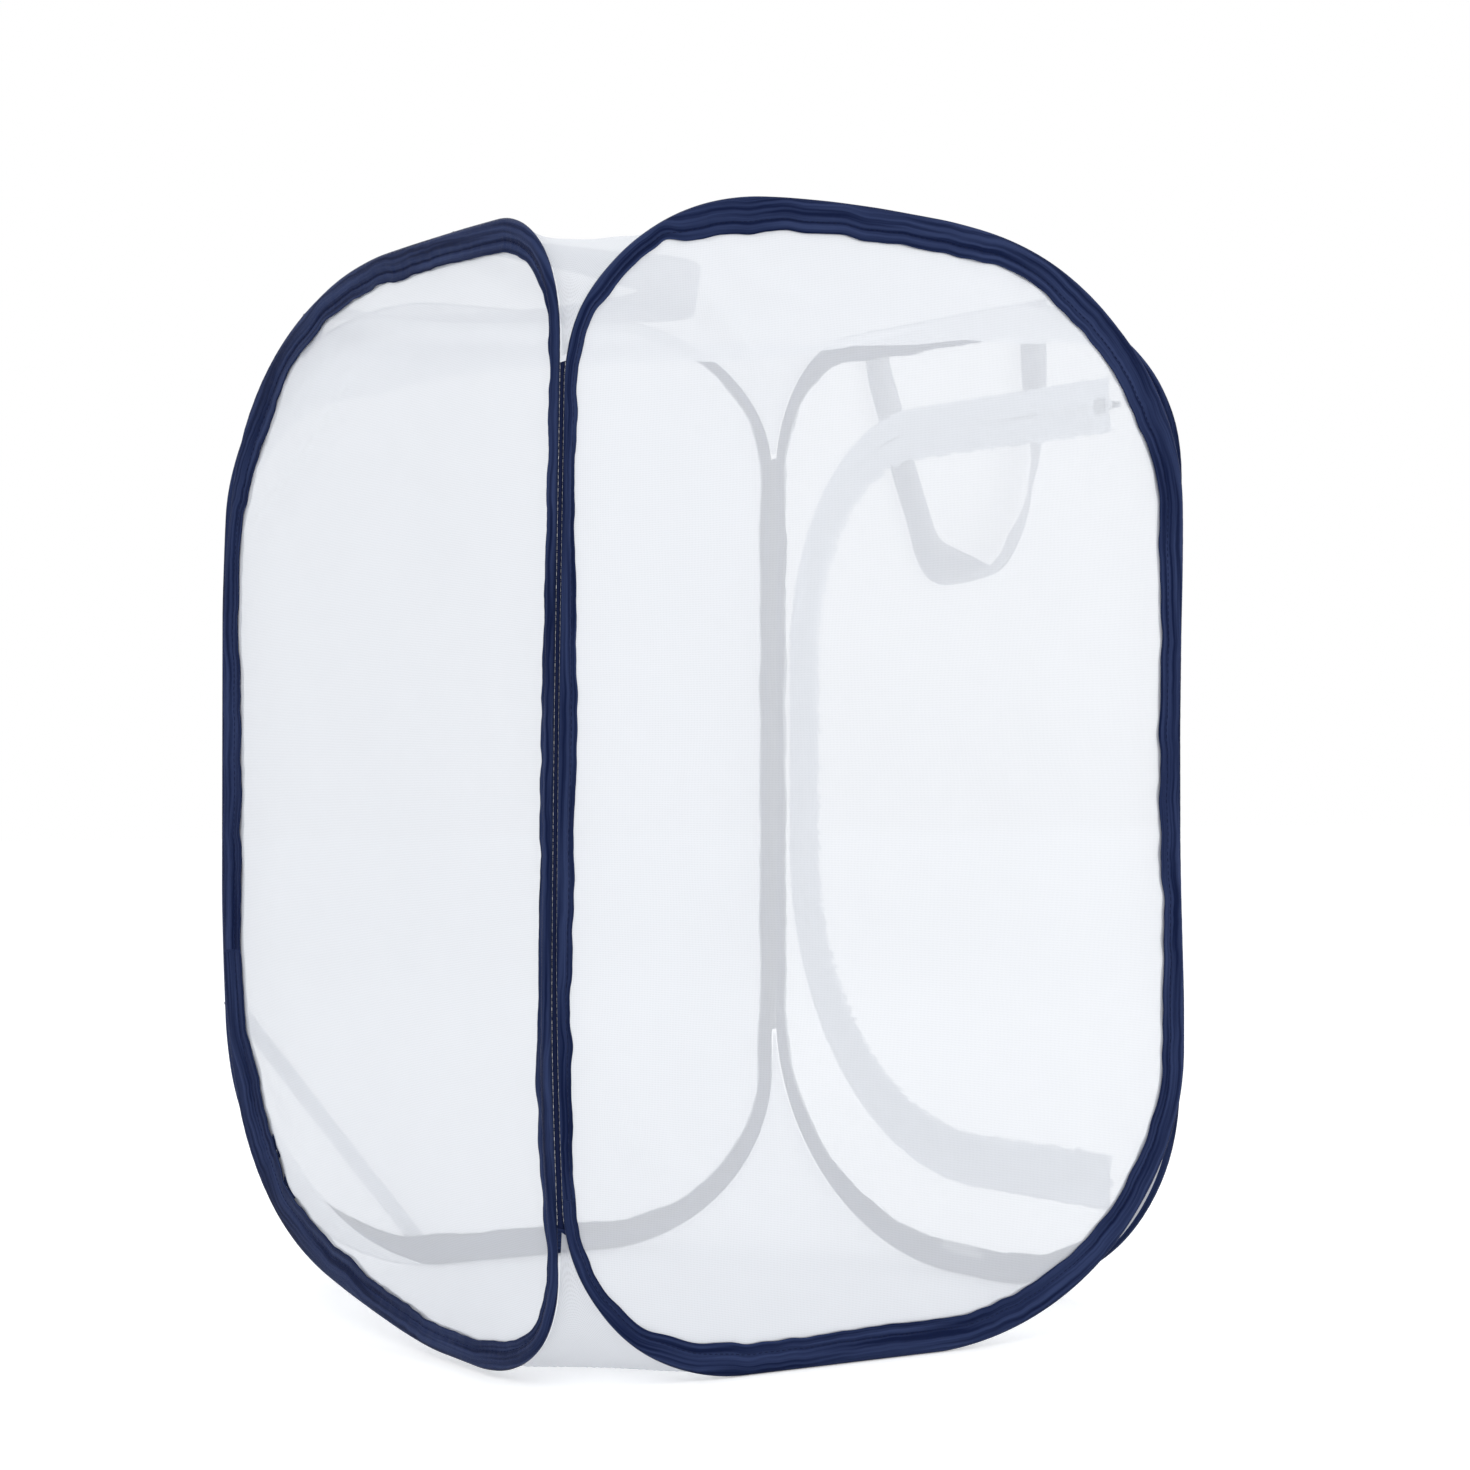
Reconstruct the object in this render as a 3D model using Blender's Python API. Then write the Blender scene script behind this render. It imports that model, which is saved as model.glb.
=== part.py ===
"""Pop-up insect cage: four spring-steel hoops in folded fabric bindings, with mesh between them.

Each side has a closed hoop of wire inside a folded tape, and a mesh panel held between the tape's legs.
The hoops are sewn together down the four upright corners, where the cage folds flat.
A top and a floor of mesh are sewn round the hoops' curved ends, and one side has a zipped door.

Metres, +Z up. The origin is the middle of the floor mesh's underside. The front faces -Y,
the back +Y, the left -X, and the right, which has the door, +X.
"""

import math

import bmesh
import bpy
import numpy as np
from mathutils import Matrix, Vector

# The whole cage
CAGE_WIDTH = 0.400  # between the planes of the left and right hoops
CAGE_DEPTH = 0.410  # between the planes of the front and back hoops
FRONT_BACK_HEIGHT = 0.600
SIDE_HEIGHT = 0.588  # the left and right hoops stand a little lower

# Gaps and gauges of cloth
CLEARANCE = 0.0003  # between pieces that touch
NET_THICKNESS = 0.0004
BINDING_THICKNESS = 0.0006  # one layer of the folded tape
WEBBING_THICKNESS = 0.0012
WEBBING_WIDTH = 0.025

# Binding: a fold round the wire, then two legs on either side of the net
BINDING_FOLD_RADIUS = 0.0025
BINDING_LEG_START = 0.008  # from the outer edge to where the legs run side by side
NET_SEAT = 0.0006  # from where the legs run side by side to the edge of the net
FOLD_FACETS = 5  # an odd number, so that one of them stands flat on the floor
INNER_FOLD_FACETS = 3

# Spring-steel wire and the crimped sleeve that joins its ends
WIRE_RADIUS = 0.0009
WIRE_SIDES = 6
FERRULE_RADIUS = 0.0015
FERRULE_BORE_RADIUS = 0.0012
FERRULE_LENGTH = 0.018
FERRULE_SIDES = 8
WIRE_END_GAP = 0.001

# Upright corners: each pair of hoops turns about the seam between them
HINGE_OFFSET = 0.0026  # from a fold's centre to the seam, both along the hoop and in from its plane
SEAM_CORD_RADIUS = 0.00075
SEAM_CORD_SIDES = 6

# Round corners of the hoops: (run, rise) at the bottom of each side's first seam, the bottom of its
# last, the top of its last and the top of its first, as shares of the hoop's width and height.
# The sides follow each other round the cage, the front's first seam being its left one
CORNER_SHARES = {
    "front": ((0.27, 0.159), (0.44, 0.250), (0.42, 0.238), (0.298, 0.170)),
    "right": ((0.41, 0.228), (0.49, 0.255), (0.21, 0.145), (0.41, 0.228)),
    "back": ((0.33, 0.183), (0.38, 0.267), (0.38, 0.233), (0.33, 0.155)),
    "left": ((0.71, 0.340), (0.20, 0.100), (0.145, 0.110), (0.542, 0.328)),
}
CORNER_FACETS = 8

# Width of each side's tape down its first and its last seam, where most of it is turned in, and
# across its bottom and its top
BINDING_SEAM_WIDTHS = {
    "front": (0.011, 0.011),
    "right": (0.011, 0.011),
    "back": (0.011, 0.011),
    "left": (0.019, 0.011),
}
BINDING_END_WIDTHS = {
    "front": (0.019, 0.019),
    "right": (0.019, 0.019),
    "back": (0.019, 0.019),
    "left": (0.015, 0.019),
}

# Top and floor nets
NET_CELLS = 16  # along each side of their grids
NET_CORNER_RISE = 0.015  # from a seam's end to the net's corner, where the hoops have parted
NET_EDGE_DEPTH = 0.0015  # from a hoop's outer edge to the edge of the net sewn to it
TOP_SAG = 0.025
TOP_CORNER_LIFT = 0.013  # the top is level into its corners, and turns down steeply there
TOP_CORNER_SHARE = 0.25  # of the net's width, that each lifted corner takes
FLOOR_SAG = 0.060
RELAX_ROUNDS = 400
WARP_TOLERANCE = 0.00002  # faces less flat than this are split into triangles

# Zipped door in the right side. Its sizes along Y are measured from the hoop's outer edges
ZIP_TOP_MARGIN = 0.069
ZIP_BOTTOM_HEIGHT = 0.071
ZIP_BACK_MARGIN = 0.030
ZIP_END_MARGIN = 0.061
DOOR_HINGE_MARGIN = 0.082
ZIP_TOP_CORNER_SHARES = (0.42, 0.30)  # run and rise, as shares of the door's width and height
ZIP_BOTTOM_CORNER_SHARES = (0.64, 0.42)
ZIP_CORNER_FACETS = 8
ZIP_TAPE_WIDTH = 0.016  # of each half, from the middle of the zip
ZIP_TAPE_THICKNESS = 0.0005
ZIP_COIL_WIDTH = 0.0016
ZIP_COIL_HEIGHT = 0.0012
ZIP_HALF_GAP = 0.0007  # from the middle of the zip to each row of coils
ZIP_SEWN_WIDTH = 0.005  # of tape over net
ZIP_STOP_LENGTH = 0.002

# Slider, its bridge and its pull tab
SLIDER_LENGTH = 0.009
SLIDER_WIDTH = 0.008
SLIDER_PLATE = 0.0007
SLIDER_WEB_WIDTH = 0.0008
SLIDER_WEB_LENGTH = 0.003
SLIDER_END_GAP = 0.0075  # from the zip's end to the slider's middle
BRIDGE_WIDTH = 0.0014
BRIDGE_LENGTH = 0.0064
BRIDGE_POST = 0.0008
BRIDGE_BAR = 0.0006
PULL_THICKNESS = 0.0008
PULL_WIDTH = 0.0056
PULL_LENGTH = 0.015
PULL_WINDOW_WIDTH = 0.0026
PULL_WINDOW_LENGTH = 0.0036
PULL_TURN_GAP = 0.0002  # beyond what the corners of its crossbar sweep

# Webbing handles: loops sewn to the tops of the left hoop, inside, and of the right one, outside
HANDLE_HALF_SPAN = 0.0795  # from the middle of the loop to the middle of each leg
RIGHT_HANDLE_MIDDLE = 0.015  # behind the middle of the side
LEFT_HANDLE_MIDDLE = -0.0045
RIGHT_HANDLE_DROP = 0.1595
LEFT_HANDLE_REACH = 0.175
HANDLE_SLOPE = math.radians(3.0)  # below level, of a handle that lies over the top
HANDLE_STEPS = 2  # between the points of their tables
HANDLE_TAB_HEIGHT = 0.016
HANDLE_TAB_LAYERS = 2
INNER_TAB_FACE = 0.0026  # from the left hoop's plane to its tabs, where the tape is narrowing
# From the hoop's edge to that of its first and its last tab
HANDLE_TAB_DROPS = {"right": (0.0005, 0.0005), "left": (0.0052, 0.0035)}
# Loops from their last leg to their first: along the hoop as a share of the half span, away from
# it as a share of the drop or reach, and the webbing's twist as a share of a quarter turn
RIGHT_HANDLE_SHARES = (
    (1.0, 0.0, 0.0),
    (1.0, 0.15, 0.0),
    (0.815, 0.371, 0.0),
    (0.633, 0.597, 0.04),
    (0.425, 0.809, 0.15),
    (0.24, 0.944, 0.45),
    (-0.11, 1.0, 0.78),
    (-0.34, 0.975, 0.64),
    (-0.58, 0.928, 0.68),
    (-0.74, 0.834, 0.82),
    (-0.825, 0.75, 0.92),
    (-0.865, 0.676, 0.95),
    (-0.94, 0.57, 0.70),
    (-1.0, 0.33, 0.12),
    (-1.0, 0.1, 0.0),
    (-1.0, 0.0, 0.0),
)
LEFT_HANDLE_SHARES = (
    (1.0, 0.0, 0.0),
    (1.0, 0.1, 0.0),
    (1.0, 0.33, 0.08),
    (0.98, 0.57, 0.25),
    (0.94, 0.78, 0.55),
    (0.84, 0.93, 0.85),
    (0.64, 1.0, 1.0),
    (0.42, 0.95, 0.90),
    (0.18, 0.81, 0.65),
    (-0.14, 0.60, 0.32),
    (-0.56, 0.36, 0.10),
    (-0.88, 0.16, 0.0),
    (-1.0, 0.06, 0.0),
    (-1.0, 0.0, 0.0),
)

# White storage strap across a lower corner outside the back
STRAP_WIDTH = 0.010
STRAP_THICKNESS = 0.0005
STRAP_UPRIGHT_END = 0.172  # above the floor, on the upright binding
STRAP_LOWER_END = 0.142  # along from the hoop's outer edge, on the bottom binding
STRAP_END_DEPTH = 0.006  # of the middle of both ends, in from the hoop's outer edge

# Colours, as linear red, green, blue
NAVY = (0.016, 0.026, 0.082)
NET_WHITE = (0.82, 0.85, 0.92)
STEEL = (0.45, 0.46, 0.48)
WEBBING_BLUE = (0.030, 0.042, 0.105)
ZIP_WHITE = (0.80, 0.82, 0.86)
SLIDER_GREY = (0.40, 0.42, 0.45)
STRAP_WHITE = (0.86, 0.88, 0.92)
THREAD_NAVY = (0.020, 0.032, 0.095)

# What follows from the sizes above
FOLD_STEP = math.pi / FOLD_FACETS
FOLD_DEPTH = BINDING_FOLD_RADIUS * math.cos(FOLD_STEP / 2)
INNER_FOLD_RADIUS = BINDING_FOLD_RADIUS - BINDING_THICKNESS
INNER_FOLD_STEP = math.pi / INNER_FOLD_FACETS
LEG_INNER = NET_THICKNESS / 2 + CLEARANCE
LEG_OUTER = LEG_INNER + BINDING_THICKNESS
WIRE_DEPTH = (
    FOLD_DEPTH - INNER_FOLD_RADIUS * math.cos(INNER_FOLD_STEP / 2) + CLEARANCE + FERRULE_RADIUS
)
HOOP_INSET = 2 * HINGE_OFFSET - FOLD_DEPTH  # from the neighbour's plane to the hoop's outer edge
NET_DEPTH = BINDING_LEG_START + NET_SEAT
NET_EDGE_OUT = -(BINDING_FOLD_RADIUS + CLEARANCE + NET_THICKNESS / 2)

SIDE_TURNS = {"front": 0, "right": 1, "back": 2, "left": 3}  # quarter turns from the front
SIDE_ORDER = ("front", "right", "back", "left")


def clear_scene():
    for thing in list(bpy.data.objects):
        bpy.data.objects.remove(thing, do_unlink=True)


def material(name, colour, roughness, metallic=0.0, alpha=1.0):
    """A Principled material of one colour."""
    made = bpy.data.materials.new(name)
    made.use_nodes = True
    shader = made.node_tree.nodes["Principled BSDF"]
    shader.inputs["Base Color"].default_value = (*colour, 1.0)
    shader.inputs["Roughness"].default_value = roughness
    shader.inputs["Metallic"].default_value = metallic
    shader.inputs["Alpha"].default_value = alpha
    made.diffuse_color = (*colour, alpha)
    return made


def satin():
    return material("binding satin", NAVY, 0.38)


def net():
    return material("net", NET_WHITE, 0.8, alpha=0.45)


def steel():
    return material("spring steel", STEEL, 0.3, metallic=1.0)


def webbing():
    return material("webbing", WEBBING_BLUE, 0.75)


def zip_tape():
    return material("zip tape", ZIP_WHITE, 0.7)


def plated():
    return material("slider plating", SLIDER_GREY, 0.35, metallic=0.8)


def strap_tape():
    return material("strap tape", STRAP_WHITE, 0.65)


def thread():
    return material("thread", THREAD_NAVY, 0.6)


def warp(face):
    """How far a face's corners lie off its plane."""
    middle = face.calc_center_median()
    return max(abs((v.co - middle).dot(face.normal)) for v in face.verts)


def make_object(name, points, faces, finish, origin=(0.0, 0.0, 0.0)):
    """A closed mesh from world points, with its own origin."""
    centre = Vector(origin)
    mesh = bpy.data.meshes.new(name)
    mesh.from_pydata([Vector(p) - centre for p in points], [], faces)
    shape = bmesh.new()
    shape.from_mesh(mesh)
    bmesh.ops.recalc_face_normals(shape, faces=shape.faces)
    bmesh.ops.triangulate(shape, faces=[f for f in shape.faces if warp(f) > WARP_TOLERANCE])
    shape.to_mesh(mesh)
    shape.free()
    mesh.materials.append(finish)
    made = bpy.data.objects.new(name, mesh)
    made.location = centre
    bpy.context.scene.collection.objects.link(made)
    return made


def loft(rings, closed):
    """Points and faces through rings of equally many points, closed on itself or with end caps."""
    count = len(rings[0])
    points = [p for ring in rings for p in ring]
    faces = []
    last = len(rings) if closed else len(rings) - 1
    for i in range(last):
        here, there = i * count, (i + 1) % len(rings) * count
        for k in range(count):
            turn = (k + 1) % count
            faces.append((here + k, here + turn, there + turn, there + k))
    if not closed:
        faces.append(tuple(range(count)))
        faces.append(tuple(range(len(points) - count, len(points))))
    return points, faces


def spin(side, x, y):
    """A point of the front, turned round to another side."""
    for _ in range(SIDE_TURNS[side]):
        x, y = -y, x
    return x, y


def half_depth(side):
    """From the middle of the cage to a hoop's plane."""
    return (CAGE_DEPTH if SIDE_TURNS[side] % 2 == 0 else CAGE_WIDTH) / 2


def half_width(side):
    """From the middle of a hoop to its outer edge."""
    return (CAGE_WIDTH if SIDE_TURNS[side] % 2 == 0 else CAGE_DEPTH) / 2 - HOOP_INSET


def height(side):
    return FRONT_BACK_HEIGHT if SIDE_TURNS[side] % 2 == 0 else SIDE_HEIGHT


def place(side, along, out, up):
    """A point of a side: along its hoop from the middle, out from its plane, and up from the floor."""
    x, y = spin(side, along, -(half_depth(side) + out))
    return Vector((x, y, up))


def corner(side, index):
    """The run and the rise of one of a hoop's round corners, in the order of CORNER_SHARES."""
    run_share, rise_share = CORNER_SHARES[side][index]
    return run_share * 2 * half_width(side), rise_share * height(side)


def quarter(centre, run, rise, start, segments):
    """A quarter of an ellipse from an angle on, as (along, up, outward along, outward up)."""
    found = []
    for i in range(segments + 1):
        angle = start + math.pi / 2 * i / segments
        outward = Vector((math.cos(angle) / run, math.sin(angle) / rise)).normalized()
        found.append(
            (
                centre[0] + run * math.cos(angle),
                centre[1] + rise * math.sin(angle),
                outward.x,
                outward.y,
            )
        )
    return found


def hoop_quarters(side):
    """The round corners of a hoop's outer edge: bottom first, bottom last, top last and top first."""
    half, top = half_width(side), height(side)
    arcs = []
    for index in range(len(CORNER_SHARES[side])):
        run, rise = corner(side, index)
        along = half - run if index in (1, 2) else run - half
        up = rise if index < 2 else top - rise
        start = math.pi + math.pi / 2 * index
        arcs.append(quarter((along, up), run, rise, start, CORNER_FACETS))
    return arcs


def top_edge(side, along):
    """How high a hoop's outer edge is at a place along its top."""
    half = half_width(side)
    index = 2 if along > 0 else 3
    run, rise = corner(side, index)
    into_corner = max(abs(along) - (half - run), 0.0) / run
    return height(side) - rise * (1 - math.sqrt(1 - into_corner**2))


def inward(station, depth):
    """A point in from a hoop's outer edge, as (along, up)."""
    along, up, outward_along, outward_up = station
    return along - outward_along * depth, up - outward_up * depth


def flat_middle(side):
    """The middle of a hoop's straight bottom, along the side."""
    return (corner(side, 0)[0] - corner(side, 1)[0]) / 2


def binding_width(side, station):
    """The tape's width there, between those down a side of the hoop and across an end of it."""
    outward_along, outward_up = station[2:]
    seam_width = BINDING_SEAM_WIDTHS[side][0 if outward_along < 0 else 1]
    end_width = BINDING_END_WIDTHS[side][0 if outward_up < 0 else 1]
    return seam_width + (end_width - seam_width) * outward_up**2


def binding_section(width):
    """The folded tape across, as (depth from the outer edge, out of the plane)."""
    outer = []
    for i in range(FOLD_FACETS + 1):
        angle = math.pi / 2 - FOLD_STEP * i
        outer.append(
            (
                FOLD_DEPTH - BINDING_FOLD_RADIUS * math.cos(angle),
                BINDING_FOLD_RADIUS * math.sin(angle),
            )
        )
    inner = []
    for i in range(INNER_FOLD_FACETS + 1):
        angle = -math.pi / 2 + INNER_FOLD_STEP * i
        inner.append(
            (
                FOLD_DEPTH - INNER_FOLD_RADIUS * math.cos(angle),
                INNER_FOLD_RADIUS * math.sin(angle),
            )
        )
    inside_leg = [
        (BINDING_LEG_START, -LEG_OUTER),
        (width, -LEG_OUTER),
        (width, -LEG_INNER),
        (BINDING_LEG_START, -LEG_INNER),
    ]
    outside_leg = [
        (BINDING_LEG_START, LEG_INNER),
        (width, LEG_INNER),
        (width, LEG_OUTER),
        (BINDING_LEG_START, LEG_OUTER),
    ]
    return outer + inside_leg + inner + outside_leg


def make_binding(side, finish):
    rings = []
    for station in [s for arc in hoop_quarters(side) for s in arc]:
        ring = []
        for depth, out in binding_section(binding_width(side, station)):
            along, up = inward(station, depth)
            ring.append(place(side, along, out, up))
        rings.append(ring)
    return make_object(f"binding_{side}", *loft(rings, True), finish)


def make_wire(side, finish):
    """The spring wire, once round inside the fold, from one end to the other in the ferrule."""
    arcs = hoop_quarters(side)
    middle = flat_middle(side)
    first = (middle + WIRE_END_GAP / 2, 0.0, 0.0, -1.0)
    last = (middle - WIRE_END_GAP / 2, 0.0, 0.0, -1.0)
    stations = [first, *arcs[1], *arcs[2], *arcs[3], *arcs[0], last]
    rings = []
    for station in stations:
        ring = []
        for k in range(WIRE_SIDES):
            angle = 2 * math.pi * k / WIRE_SIDES
            along, up = inward(station, WIRE_DEPTH + WIRE_RADIUS * math.cos(angle))
            ring.append(place(side, along, WIRE_RADIUS * math.sin(angle), up))
        rings.append(ring)
    return make_object(f"wire_{side}", *loft(rings, False), finish)


def make_ferrule(side, finish):
    """The crimped sleeve over the wire's two ends, in the straight bottom of the hoop."""
    middle = flat_middle(side)
    ends = [
        (middle - FERRULE_LENGTH / 2, FERRULE_RADIUS),
        (middle + FERRULE_LENGTH / 2, FERRULE_RADIUS),
        (middle + FERRULE_LENGTH / 2, FERRULE_BORE_RADIUS),
        (middle - FERRULE_LENGTH / 2, FERRULE_BORE_RADIUS),
    ]
    rings = []
    for along, radius in ends:
        ring = []
        for k in range(FERRULE_SIDES):
            angle = 2 * math.pi * (k + 0.5) / FERRULE_SIDES
            up = WIRE_DEPTH + radius * math.cos(angle)
            ring.append(place(side, along, radius * math.sin(angle), up))
        rings.append(ring)
    return make_object(f"ferrule_{side}", *loft(rings, True), finish)


def net_outline(side):
    """The edge of a side's net, between the legs of its binding, as (along, up)."""
    return [inward(s, NET_DEPTH) for arc in hoop_quarters(side) for s in arc]


def plate(side, loops, out, thickness):
    """A flat sheet in a side: the first loop of (along, up) is its outline, and the rest are holes."""
    flat = bmesh.new()
    edges, spans = [], []
    for loop in loops:
        corners = [flat.verts.new((along, 0.0, up)) for along, up in loop]
        spans.append(len(corners))
        edges += [flat.edges.new((corners[i - 1], corners[i])) for i in range(len(corners))]
    flat.verts.index_update()
    bmesh.ops.triangle_fill(flat, edges=edges, use_beauty=True)
    places = [(v.co.x, v.co.z) for v in flat.verts]
    caps = [tuple(v.index for v in face.verts) for face in flat.faces]
    flat.free()
    count = len(places)
    points = [place(side, along, out + thickness / 2, up) for along, up in places]
    points += [place(side, along, out - thickness / 2, up) for along, up in places]
    faces = caps + [tuple(count + i for i in reversed(cap)) for cap in caps]
    start = 0
    for span in spans:
        for i in range(span):
            here, there = start + i, start + (i + 1) % span
            faces.append((here, there, there + count, here + count))
        start += span
    return points, faces


def zip_line():
    """The middle of the zip on the right side, from its top end round the back to its bottom end,
    as (along, up, outward along, outward up). The door is inside the line."""
    half = half_width("right")
    end, back = -half + ZIP_END_MARGIN, half - ZIP_BACK_MARGIN
    top, bottom = height("right") - ZIP_TOP_MARGIN, ZIP_BOTTOM_HEIGHT
    wide, tall = back + half - DOOR_HINGE_MARGIN, top - bottom
    run_top, rise_top = wide * ZIP_TOP_CORNER_SHARES[0], tall * ZIP_TOP_CORNER_SHARES[1]
    run_low, rise_low = wide * ZIP_BOTTOM_CORNER_SHARES[0], tall * ZIP_BOTTOM_CORNER_SHARES[1]
    upper = quarter((back - run_top, top - rise_top), run_top, rise_top, 0.0, ZIP_CORNER_FACETS)
    lower = quarter(
        (back - run_low, bottom + rise_low), run_low, rise_low, 1.5 * math.pi, ZIP_CORNER_FACETS
    )
    return [(end, top, 0.0, 1.0), *reversed(upper), *reversed(lower), (end, bottom, 0.0, -1.0)]


def door_hinge_along():
    """Where the door folds, along the right side."""
    return -half_width("right") + DOOR_HINGE_MARGIN


def zip_section(sign):
    """One half of the zip across: (out from the zip's middle, out of the plane). The coil stands on
    the tape's outer face."""
    inner = NET_THICKNESS / 2 + CLEARANCE
    coil_edge = ZIP_HALF_GAP + ZIP_COIL_WIDTH
    return [
        (sign * ZIP_HALF_GAP, inner),
        (sign * ZIP_TAPE_WIDTH, inner),
        (sign * ZIP_TAPE_WIDTH, inner + ZIP_TAPE_THICKNESS),
        (sign * coil_edge, inner + ZIP_TAPE_THICKNESS),
        (sign * coil_edge, inner + ZIP_COIL_HEIGHT),
        (sign * ZIP_HALF_GAP, inner + ZIP_COIL_HEIGHT),
    ]


def zip_strip(stations, sign):
    """A half of the zip along some of its stations."""
    rings = []
    for station in stations:
        rings.append(
            [
                place("right", inward(station, -off)[0], out, inward(station, -off)[1])
                for off, out in zip_section(sign)
            ]
        )
    return loft(rings, False)


def make_right_net(finish):
    """The right side's net, cut away inside the zip and round the zip's two ends."""
    line = zip_line()
    reach = ZIP_TAPE_WIDTH - ZIP_SEWN_WIDTH
    fold = door_hinge_along() - CLEARANCE
    end = line[0][0] - 2 * ZIP_STOP_LENGTH
    top, bottom = line[0][1], line[-1][1]
    hole = [
        (end, top + reach),
        *[inward(s, -reach) for s in line[1:-1]],
        (end, bottom - reach),
        (end, bottom + reach),
        (fold, bottom + reach),
        (fold, top - reach),
        (end, top - reach),
    ]
    shape = plate("right", [net_outline("right"), hole], 0.0, NET_THICKNESS)
    return make_object("net_right", *shape, finish)


def make_door(net_finish, tape_finish):
    """The door's net and its half of the zip, which turn on the fold."""
    line = zip_line()
    fold = door_hinge_along() + CLEARANCE
    reach = ZIP_TAPE_WIDTH - ZIP_SEWN_WIDTH
    pivot = place("right", door_hinge_along(), 0.0, line[-1][1])
    outline = [
        (fold, line[0][1] - reach),
        *[inward(s, reach) for s in line[1:-1]],
        (fold, line[-1][1] + reach),
    ]
    shape = plate("right", [outline], 0.0, NET_THICKNESS)
    make_object("door_net", *shape, net_finish, pivot)
    stations = [(fold, *line[0][1:]), *line[1:-1], (fold, *line[-1][1:])]
    make_object("zip_tape_door", *zip_strip(stations, -1.0), tape_finish, pivot)


def make_fixed_zip(finish):
    """The half of the zip on the side, the door half's two ends past the fold, and the stops."""
    line = zip_line()
    make_object("zip_tape_side", *zip_strip(line, 1.0), finish)
    fold = door_hinge_along() - CLEARANCE
    inner = NET_THICKNESS / 2 + CLEARANCE
    reach = ZIP_HALF_GAP + ZIP_COIL_WIDTH
    for name, station in (("top", line[0]), ("bottom", line[-1])):
        end = zip_strip([station, (fold, *station[1:])], -1.0)
        make_object(f"zip_tape_end_{name}", *end, finish)
        near = station[0] - CLEARANCE
        stop = block(
            (near - ZIP_STOP_LENGTH, near),
            (station[1] - reach, station[1] + reach),
            (inner, inner + ZIP_COIL_HEIGHT),
        )
        make_object(f"zip_stop_{name}", *stop, finish)


def block(along, up, out):
    """A box on the right side, from three (low, high) pairs."""
    corners = [(a, u, o) for a in along for u in up for o in out]
    points = [place("right", a, o, u) for a, u, o in corners]
    faces = [
        (0, 1, 3, 2),
        (4, 6, 7, 5),
        (0, 4, 5, 1),
        (2, 3, 7, 6),
        (0, 2, 6, 4),
        (1, 5, 7, 3),
    ]
    return points, faces


def united(name, first, others):
    """One solid from blocks that overlap."""
    whole = first
    for i, other in enumerate(others):
        cut = whole.modifiers.new(f"{name} {i}", "BOOLEAN")
        cut.operation = "UNION"
        cut.solver = "EXACT"
        cut.object = other
        other.hide_render = True
        other.display_type = "WIRE"
    return whole


def slider_place():
    """The slider's middle at rest, along and up."""
    end = zip_line()[0]
    return end[0] + SLIDER_END_GAP, end[1]


def pull_sweep():
    """From the middle of the pull tab's crossbar to its corners."""
    return math.hypot(PULL_THICKNESS, PULL_THICKNESS) / 2


def pull_pivot_out():
    """How far out of the side's plane the crossbar turns."""
    return plate_face() + PULL_TURN_GAP + pull_sweep()


def plate_face():
    """How far out the slider's outer plate reaches."""
    coil_face = NET_THICKNESS / 2 + CLEARANCE + ZIP_COIL_HEIGHT
    return coil_face + CLEARANCE + SLIDER_PLATE


def make_slider(finish):
    """Two plates joined by a web that runs between the coils, with a bridge for the pull tab."""
    along, up = slider_place()
    origin = place("right", along, 0.0, up)
    face = plate_face()
    under = NET_THICKNESS / 2
    length, width = SLIDER_LENGTH / 2, SLIDER_WIDTH / 2
    web, bridge = SLIDER_WEB_WIDTH / 2, BRIDGE_WIDTH / 2
    reach = BRIDGE_LENGTH / 2
    bar = pull_pivot_out() + pull_sweep() + PULL_TURN_GAP
    across = (up - width, up + width)
    narrow = (up - bridge, up + bridge)
    whole = make_object(
        "zip_slider",
        *block((along - length, along + length), across, (face - SLIDER_PLATE, face)),
        finish,
        origin,
    )
    web_start = along - length
    post_ends = [
        (along - reach, along - reach + BRIDGE_POST),
        (along + reach - BRIDGE_POST, along + reach),
    ]
    sunk = face - SLIDER_PLATE / 2
    pieces = [
        block((along - length, along + length), across, (under - SLIDER_PLATE, under)),
        block(
            (web_start, web_start + SLIDER_WEB_LENGTH),
            (up - web, up + web),
            (under - SLIDER_PLATE / 2, sunk),
        ),
        block(post_ends[0], narrow, (sunk, bar + BRIDGE_BAR / 2)),
        block(post_ends[1], narrow, (sunk, bar + BRIDGE_BAR / 2)),
        block((along - reach, along + reach), narrow, (bar, bar + BRIDGE_BAR)),
    ]
    others = []
    for i, shape in enumerate(pieces):
        others.append(make_object(f"slider piece {i}", *shape, finish, origin))
    # The outer plate meets the posts and the web first, and the inner plate last
    return united("slider", whole, [others[2], others[3], others[4], others[1], others[0]])


def make_pull(finish):
    """The pull tab: a plate with a window, whose crossbar turns under the slider's bridge."""
    along, up = slider_place()
    out = pull_pivot_out()
    thick = PULL_THICKNESS / 2
    wide, window = PULL_WIDTH / 2, PULL_WINDOW_WIDTH / 2
    far, near = along - PULL_LENGTH, along + thick
    outline = [(near, up - wide), (near, up + wide), (far, up + wide / 2), (far, up - wide / 2)]
    opening = [
        (along - thick, up - window),
        (along - thick, up + window),
        (along - thick - PULL_WINDOW_LENGTH, up + window),
        (along - thick - PULL_WINDOW_LENGTH, up - window),
    ]
    shape = plate("right", [outline, opening], out, PULL_THICKNESS)
    return make_object("zip_pull", *shape, finish, place("right", along, out, up))


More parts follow.
